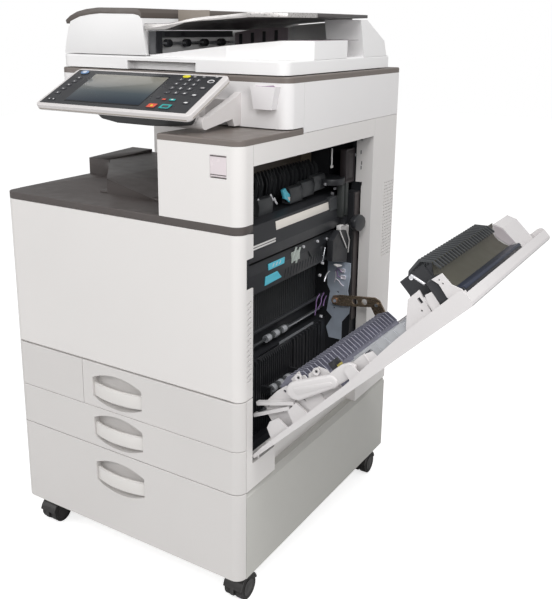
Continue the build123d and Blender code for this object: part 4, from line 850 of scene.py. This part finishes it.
home_blue = moulded("home key", (104, 136, 176), 0.3, 900.0, 0.1, 0.05)
painted_home_highlight = moulded("home key painted highlight", (206, 214, 226), 0.3, 900.0, 0.1, 0.03)
figure_white = moulded("key print", (222, 222, 222), 0.4, 900.0, 0.05, 0.02)
sun_yellow = moulded("lamp yellow", (222, 210, 48), 0.3, 900.0, 0.05, 0.03)
stop_red = moulded("stop key red", (214, 84, 62), 0.3, 900.0, 0.05, 0.03)
start_teal = moulded("start key teal", (36, 160, 158), 0.3, 900.0, 0.05, 0.03)
key_piece("home_cap", KEY_TOP, 1.2, oval(30, 124.5, 10.5, 6.6), "function_keys", home_blue, 0.5)
# The pale oval in the home cap's middle is a painted highlight.
key_piece("home_cap_highlight", 1.85, 0.3, oval(30, 124.5, 5.5, 3.6), "function_keys", painted_home_highlight)
dot = key_piece("function_mark", PRINT, 0.25, oval(31, 104, 1.8, 1.3, 12), "function_keys", figure_white, 0)
dot_shifts = [(-1, -14, 0), (-4, -28, 0), (-6, -43, 0), (-8, -58, 0), (-9, -82, 0), (2, -82, 0)]
copies(dot, "function_mark", dot_shifts, "function_keys", PANEL)
key_piece("status_lamp", -0.3, 1.0, oval(284, 129.6, 9, 4.6), "panel", sun_yellow, 0.4)
small = key_piece("status_mark", -0.25, 0.5, oval(303, 130, 3.4, 1.7, 14), "panel", can_grey)
copies(small, "status_mark", ((20, 1, 0), (48, 2.5, 0)), "panel", PANEL)
ring = oval(349, 115, 7.4, 5.6)
key_piece("energy_ring", KEY_TOP, 0.5, ring, "operation_keys", figure_white, 0.1, (1.6, 0.4))
key_piece("energy_core", PRINT, 0.35, oval(349, 115, 5.2, 3.6), "operation_keys", key_black)
side_prints = ((345, 92, can_grey), (343, 67, figure_white), (342, 41, figure_white))
for number, (u, v, print_grey) in enumerate(side_prints, 1):
    outline = oval(u, v, 4.4, 2.0, 14)
    key_piece(f"side_key_mark_{number}", PRINT, 0.3, outline, "operation_keys", print_grey)
outline = [(267.5, 18), (285.5, 18), (287, 30), (269, 30)]
key_piece("stop_cap", KEY_TOP, 1.0, outline, "operation_keys", stop_red, 0.4, (2, 0.6))
outline = [(277, 20.5), (280.4, 24), (277.4, 27.4), (274, 24)]
key_piece("stop_mark", 1.1, 0.3, outline, "operation_keys", sun_yellow)
outline = [(296.5, 17.4), (318, 17.4), (319.6, 30.6), (298, 30.6)]
key_piece("start_cap", KEY_TOP, 1.0, outline, "operation_keys", start_teal, 0.4, (2.2, 0.6))
start_core = start_block("start_core", (301, 20.4, 0.9), (315, 27.6, 1.3), PANEL)
finished(start_core, "operation_keys", key_black, 0.2)
clear_cap = start_block("clear_cap", (301.5, 44, 0.7), (314.5, 49.6, 1.3), PANEL)
finished(clear_cap, "operation_keys", start_teal, 0.4)
key_piece("clear_mark", 1.25, 0.3, oval(308, 47, 2.6, 1.4, 12), "operation_keys", figure_white, 0)
pause = start_block("pause_cap", (285, 45, 0.7), (293, 48.6, 1.2), PANEL)
finished(pause, "operation_keys", stop_red, 0.3)
KEY_COLUMNS = (279, 299, 319)
KEY_ROWS = (117, 102, 86.5, 71)
BELOW_MIDDLE = 2.4
for index, figure in enumerate("123456789.0#"):
    row, column = divmod(index, len(KEY_COLUMNS))
    bpy.ops.object.select_all(action="DESELECT")
    bpy.ops.object.text_add(location=(KEY_COLUMNS[column], KEY_ROWS[row] - BELOW_MIDDLE, KEY_TOP + 0.02))
    sign = bpy.context.object
    sign.data.body = figure
    sign.data.size = 7.5
    sign.data.align_x = "CENTER"
    sign.data.extrude = 0.12
    sign.data.offset = 0.12
    bpy.ops.object.convert(target="MESH")
    settle(bpy.context.object, f"figure_{index + 1}", PANEL)
    finished(bpy.context.object, "number_keys", figure_white, 0)

# The tower's power switch under its clear flap, and the small clip pocket on the scanner, whose
# inside is a shade of lavender.
flap = moulded("flap plastic", (222, 212, 215), 0.25, 600.0, 0.1, 0.03)
wear(["switch_cover"], flap)
flap_lip = start_block("flap_lip", (231.4, -0.2, 888.6), (264.6, 0.6, 890.6))
finished(flap_lip, "switch_cover", taupe, 0.3)
flap_foot = start_block("flap_foot", (231.4, -0.2, 856.6), (264.6, 0.6, 858))
finished(flap_foot, "switch_cover", taupe, 0.3)
clip_white = moulded("clip tray plastic", (228, 225, 226), 0.45, 1300.0, 0.15, 0.01)
wear(["clip_tray"], clip_white)
lavender = moulded("clip liner", (206, 188, 204), 0.45, 1300.0, 0.1, 0.03)
liner = start_plate("clip_liner", "y", 152.6, 0.9, [(232.4, 961), (265.6, 961), (273, 998), (225, 998)])
finished(liner, "machine", lavender, 0.2)
# A darker lavender strip along the pocket's opening: painted shade in its mouth.
mouth = start_plate(
    "clip_mouth", "y", 138.8, 0.8,
    [(223, 989), (222.6, 993.5), (246.6, 998.4), (271, 1001), (275, 998), (269.9, 994.1), (246.6, 990.3)]
)
mouth_shade = moulded("clip mouth shade", (150, 128, 150), 0.45, 1300.0, 0.1, 0.1)
finished(mouth, "machine", mouth_shade, 0.3)

# The document feeder: white base with the exit throat, the hinged cover with its brown cap, the
# lifting table of brown plastic with a brushed lip, and two sliding paper fences.
feeder_white = moulded("feeder plastic", (238, 237, 237), 0.48, 1500.0, 0.15, 0.012)
wear(["adf_base", "adf_feed_cover"], feeder_white)
table_dark = moulded("table plastic", (82, 79, 79), 0.34, 900.0, 0.3, 0.05)
cap_brown = moulded("cap plastic", (86, 78, 73), 0.34, 900.0, 0.3, 0.04)
wear(["adf_table"], table_dark)
fence_brown = moulded("fence plastic", (150, 140, 130), 0.4, 1200.0, 0.2, 0.03)
wear(["front_fence", "rear_fence"], fence_brown)
wear(["adf_exit_rollers"], black_guide)
cap = start_plate(
    "feed_cap", "y", 159.3, 441.4,
    [(-254, 1104), (-256.6, 1111.6), (-243.4, 1120.4), (-223.4, 1128.6), (-197, 1133.8), (-166, 1136.6),
     (-158, 1136.8), (-70, 1135.6),
     (-57.4, 1134.6), (-49.4, 1127), (-48, 1116), (-54, 1116), (-56, 1121), (-70, 1124), (-159, 1125),
     (-186, 1123), (-215, 1119), (-238, 1111)],
)
finished(cap, "feed_cover", cap_brown, 1.2, 3)
face = start_plate(
    "cover_front", "y", 158.8, 1.6,
    [(-262, 1044.6), (-256, 1074), (-248, 1098), (-238, 1107), (-215, 1117), (-186, 1121.4), (-159, 1123.4),
     (-64, 1122.4),
     (-52, 1119), (-49, 1112), (-39.2, 1046), (-39.2, 1044.6)],
)
finished(face, "feed_cover", feeder_white, 0.6)
lip = start_plate(
    "table_lip", "y", 160.2, 1.6,
    [(-42, 1105.6), (12, 1105.2), (26, 1106.8), (41, 1109.8), (60, 1113.6), (80, 1116.8), (108, 1119.6),
     (162, 1123.2), (201, 1127.2),
     (201, 1118.2), (117, 1112.6), (100, 1112), (76, 1110.4), (58, 1108), (40, 1103), (21, 1097.6),
     (8, 1095), (-42, 1093.7)],
)
lip_metal = plated("brushed lip", (196, 193, 191), 0.3, (0.05, 1, 1), 0.08, 0.55)
finished(lip, "feed_table", lip_metal)
lip_corner = start_plate(
    "table_lip_corner", "z", 1118.8, 8.2,
    [(200, 160.2), (262.8, 199.2), (286, 269.6), (284.4, 270), (261.6, 200.4), (199, 161.8)]
)
finished(lip_corner, "feed_table", lip_metal, 0.6)
lip_end = start_plate(
    "table_edge", "z", 1121, 6.4,
    [(286, 272), (286, 487.6), (284.6, 487.6), (284.6, 272)],
)
finished(lip_end, "feed_table", table_dark, 0.6)
throat = start_block("throat_wall", (-63.8, 180, 1043.4), (-62.4, 588, 1098))
black_part(sunk(throat, TO_RIGHT, 6, 0.8), 0.3, body="feeder")
post_cover = start_block("throat_front", (-37.6, 165.6, 1047), (-18.4, 167.7, 1092))
black_part(sunk(post_cover, TO_FRONT, 3, 0.8), 0.4, body="feeder")
post_side = start_block("throat_side", (-19.6, 167.8, 1047), (-18.4, 186, 1092))
black_part(sunk(post_side, TO_RIGHT, 3, 0.5), 0.3, body="feeder")
band = start_block("exit_guide_band", (-37, 188, 1079), (-26, 444, 1092))
finished(sunk(band, TO_RIGHT, 3, 0.6), "feeder", dark_grey, 0.6)
# Two black blocks stand for the band's windows: painted shade.
window = start_block("exit_guide_window", (-26.4, 204, 1082), (-25.6, 220, 1089))
black_part(repeated(window, 2, (0, 52, 0)), 0.2, body="feeder")
sleeve = start_rod("exit_shaft_sleeve", (-25, 170, 1068), (-25, 450, 1068), 2.8)
finished(sleeve, "exit_rollers", steel, 0.3)
mat_dark = start_plate(
    "exit_floor", "y", 200, 252,
    [(-38, 1043.2), (-30, 1047), (70, 1058.4), (70, 1057.4), (-30, 1045.4), (-38, 1042.4)],
)
black_part(mat_dark, 0.2, body="feeder")
pink_grey = moulded("exit guide film", (150, 138, 144), 0.35, 200.0, 0.2, 0.08)
mat = start_plate(
    "exit_mat", "y", 272, 180,
    [(70, 1058.4), (235, 1077.6), (284, 1077.6), (284, 1076.6), (235, 1076.6), (70, 1057.4)],
)
finished(mat, "feeder", pink_grey, 0.2)
stand = start_plate(
    "exit_stand", "y", 444, 3,
    [(-20, 1047), (-20, 1088), (24, 1096), (60, 1100), (118, 1101), (118, 1062)],
)
finished(sunk(stand, TO_FRONT, 3, 0.6), "feeder", pink_grey, 0.4)
# Black blocks stand for the stand's slits: painted shade.
slit = start_block("exit_slit", (-8, 443, 1064), (0, 443.9, 1086))
black_part(repeated(slit, 4, (31, 0, 3)), 0.2, body="feeder")
back_wall = start_plate(
    "feeder_back", "y", 580, 2.5,
    [(-18, 1044), (-18, 1091), (10, 1092.6), (21, 1095.6), (60, 1106), (117, 1110.6), (199, 1116),
     (199, 1044)]
)
finished(back_wall, "feeder", feeder_white, 0.6)
# A dark taupe strip under the top edge of the feeder's grip recess: painted shade.
painted_grip_shade = start_block("painted_grip_shade", (-86, 159.6, 1032), (82, 175.8, 1034.2))
finished(sunk(painted_grip_shade, TO_FLOOR, 2, 0.4), "feeder", taupe, 0.4)
glass, glass_shader, glass_space = start_finish("platen glass", 0.03)
glass_shader.inputs["Base Color"].default_value = (0.85, 0.9, 0.9, 1)
glass_shader.inputs["Transmission Weight"].default_value = 1.0
bumped(glass, glass_shader, noise(glass, glass_space, 8.0, 2.0), 0.02, 0.0005)
wear(["platen_glass"], glass)
wear(["scan_carriage"], steel)

# The studio: a white floor that keeps the shadow, soft light from the upper right, a fill from
# the left and the camera where the picture was taken.
bpy.ops.object.select_all(action="DESELECT")
bpy.ops.mesh.primitive_plane_add(size=14, location=(0, 2, 0))
floor = bpy.context.object
floor.name = "studio_floor"
floor_paint, floor_shader, floor_space = start_finish("floor paint", 0.7)
clouded(floor_paint, floor_shader, floor_space, (0.8, 0.8, 0.8, 1), 0.01)
ray = floor_paint.node_tree.nodes.new("ShaderNodeLightPath")
glow = floor_paint.node_tree.nodes.new("ShaderNodeMapRange")
FLOOR_GLOW = 0.7
glow.inputs["To Max"].default_value = FLOOR_GLOW
floor_paint.node_tree.links.new(ray.outputs["Is Camera Ray"], glow.inputs["Value"])
floor_paint.node_tree.links.new(glow.outputs["Result"], floor_shader.inputs["Emission Strength"])
floor_shader.inputs["Emission Color"].default_value = (1, 1, 1, 1)
floor.data.materials.append(floor_paint)

world = bpy.data.worlds.new("studio light")
bpy.context.scene.world = world
world.use_nodes = True
sky = world.node_tree
# White where the camera looks straight at it or through glass, dimmer as a light.
seen = sky.nodes.new("ShaderNodeLightPath")
either = sky.nodes.new("ShaderNodeMath")
either.operation = "MAXIMUM"
sky.links.new(seen.outputs["Is Camera Ray"], either.inputs[0])
sky.links.new(seen.outputs["Is Transmission Ray"], either.inputs[1])
brightness = sky.nodes.new("ShaderNodeMapRange")
AMBIENT, BACKGROUND = 0.4, 1.0
brightness.inputs["To Min"].default_value = AMBIENT
brightness.inputs["To Max"].default_value = BACKGROUND
sky.links.new(either.outputs["Value"], brightness.inputs["Value"])
sky.links.new(brightness.outputs["Result"], sky.nodes["Background"].inputs["Strength"])
sky.nodes["Background"].inputs["Color"].default_value = (1, 1, 1, 1)


def lamp(name, place, aim, size, watts):
    """A square soft box that points at a spot on the machine."""
    data = bpy.data.lights.new(name, "AREA")
    data.size = size
    data.energy = watts
    obj = bpy.data.objects.new(name, data)
    bpy.context.scene.collection.objects.link(obj)
    obj.location = place
    obj.rotation_euler = (Vector(aim) - Vector(place)).to_track_quat("-Z", "Y").to_euler()


lamp("key", (0.9, -2.4, 2.7), (0.1, 0, 0.8), 1.2, 24)
lamp("side", (1.7, -0.5, 3.2), (0.2, 0, 0.7), 1.1, 38)
lamp("fill", (-1.8, -2.4, 1.6), (0, 0, 0.6), 1.6, 22)
lamp("opening", (1.2, -1.0, 1.3), (0.2, -0.05, 0.65), 0.4, 4.5)

# The camera of the photograph, from a fit to the cabinet's edges: the turn, the lens and the place.
yaw, pitch, roll = math.radians(-31.771), math.radians(-14.651), math.radians(0.555)
CAMERA_PLACE = (1.03452, -1.42535, 1.10277)
lens = bpy.data.cameras.new("camera")
lens.sensor_width = 36.0
lens.lens = 48.373
lens.shift_x = 0.00992
lens.shift_y = -0.10471
camera = bpy.data.objects.new("camera", lens)
bpy.context.scene.collection.objects.link(camera)
turn = Matrix.Rotation(-yaw, 4, "Z") @ Matrix.Rotation(math.pi / 2 + pitch, 4, "X")
turn = turn @ Matrix.Rotation(roll, 4, "Z")
camera.matrix_world = Matrix.Translation(CAMERA_PLACE) @ turn
bpy.context.scene.camera = camera
bpy.context.scene.view_settings.view_transform = "Standard"
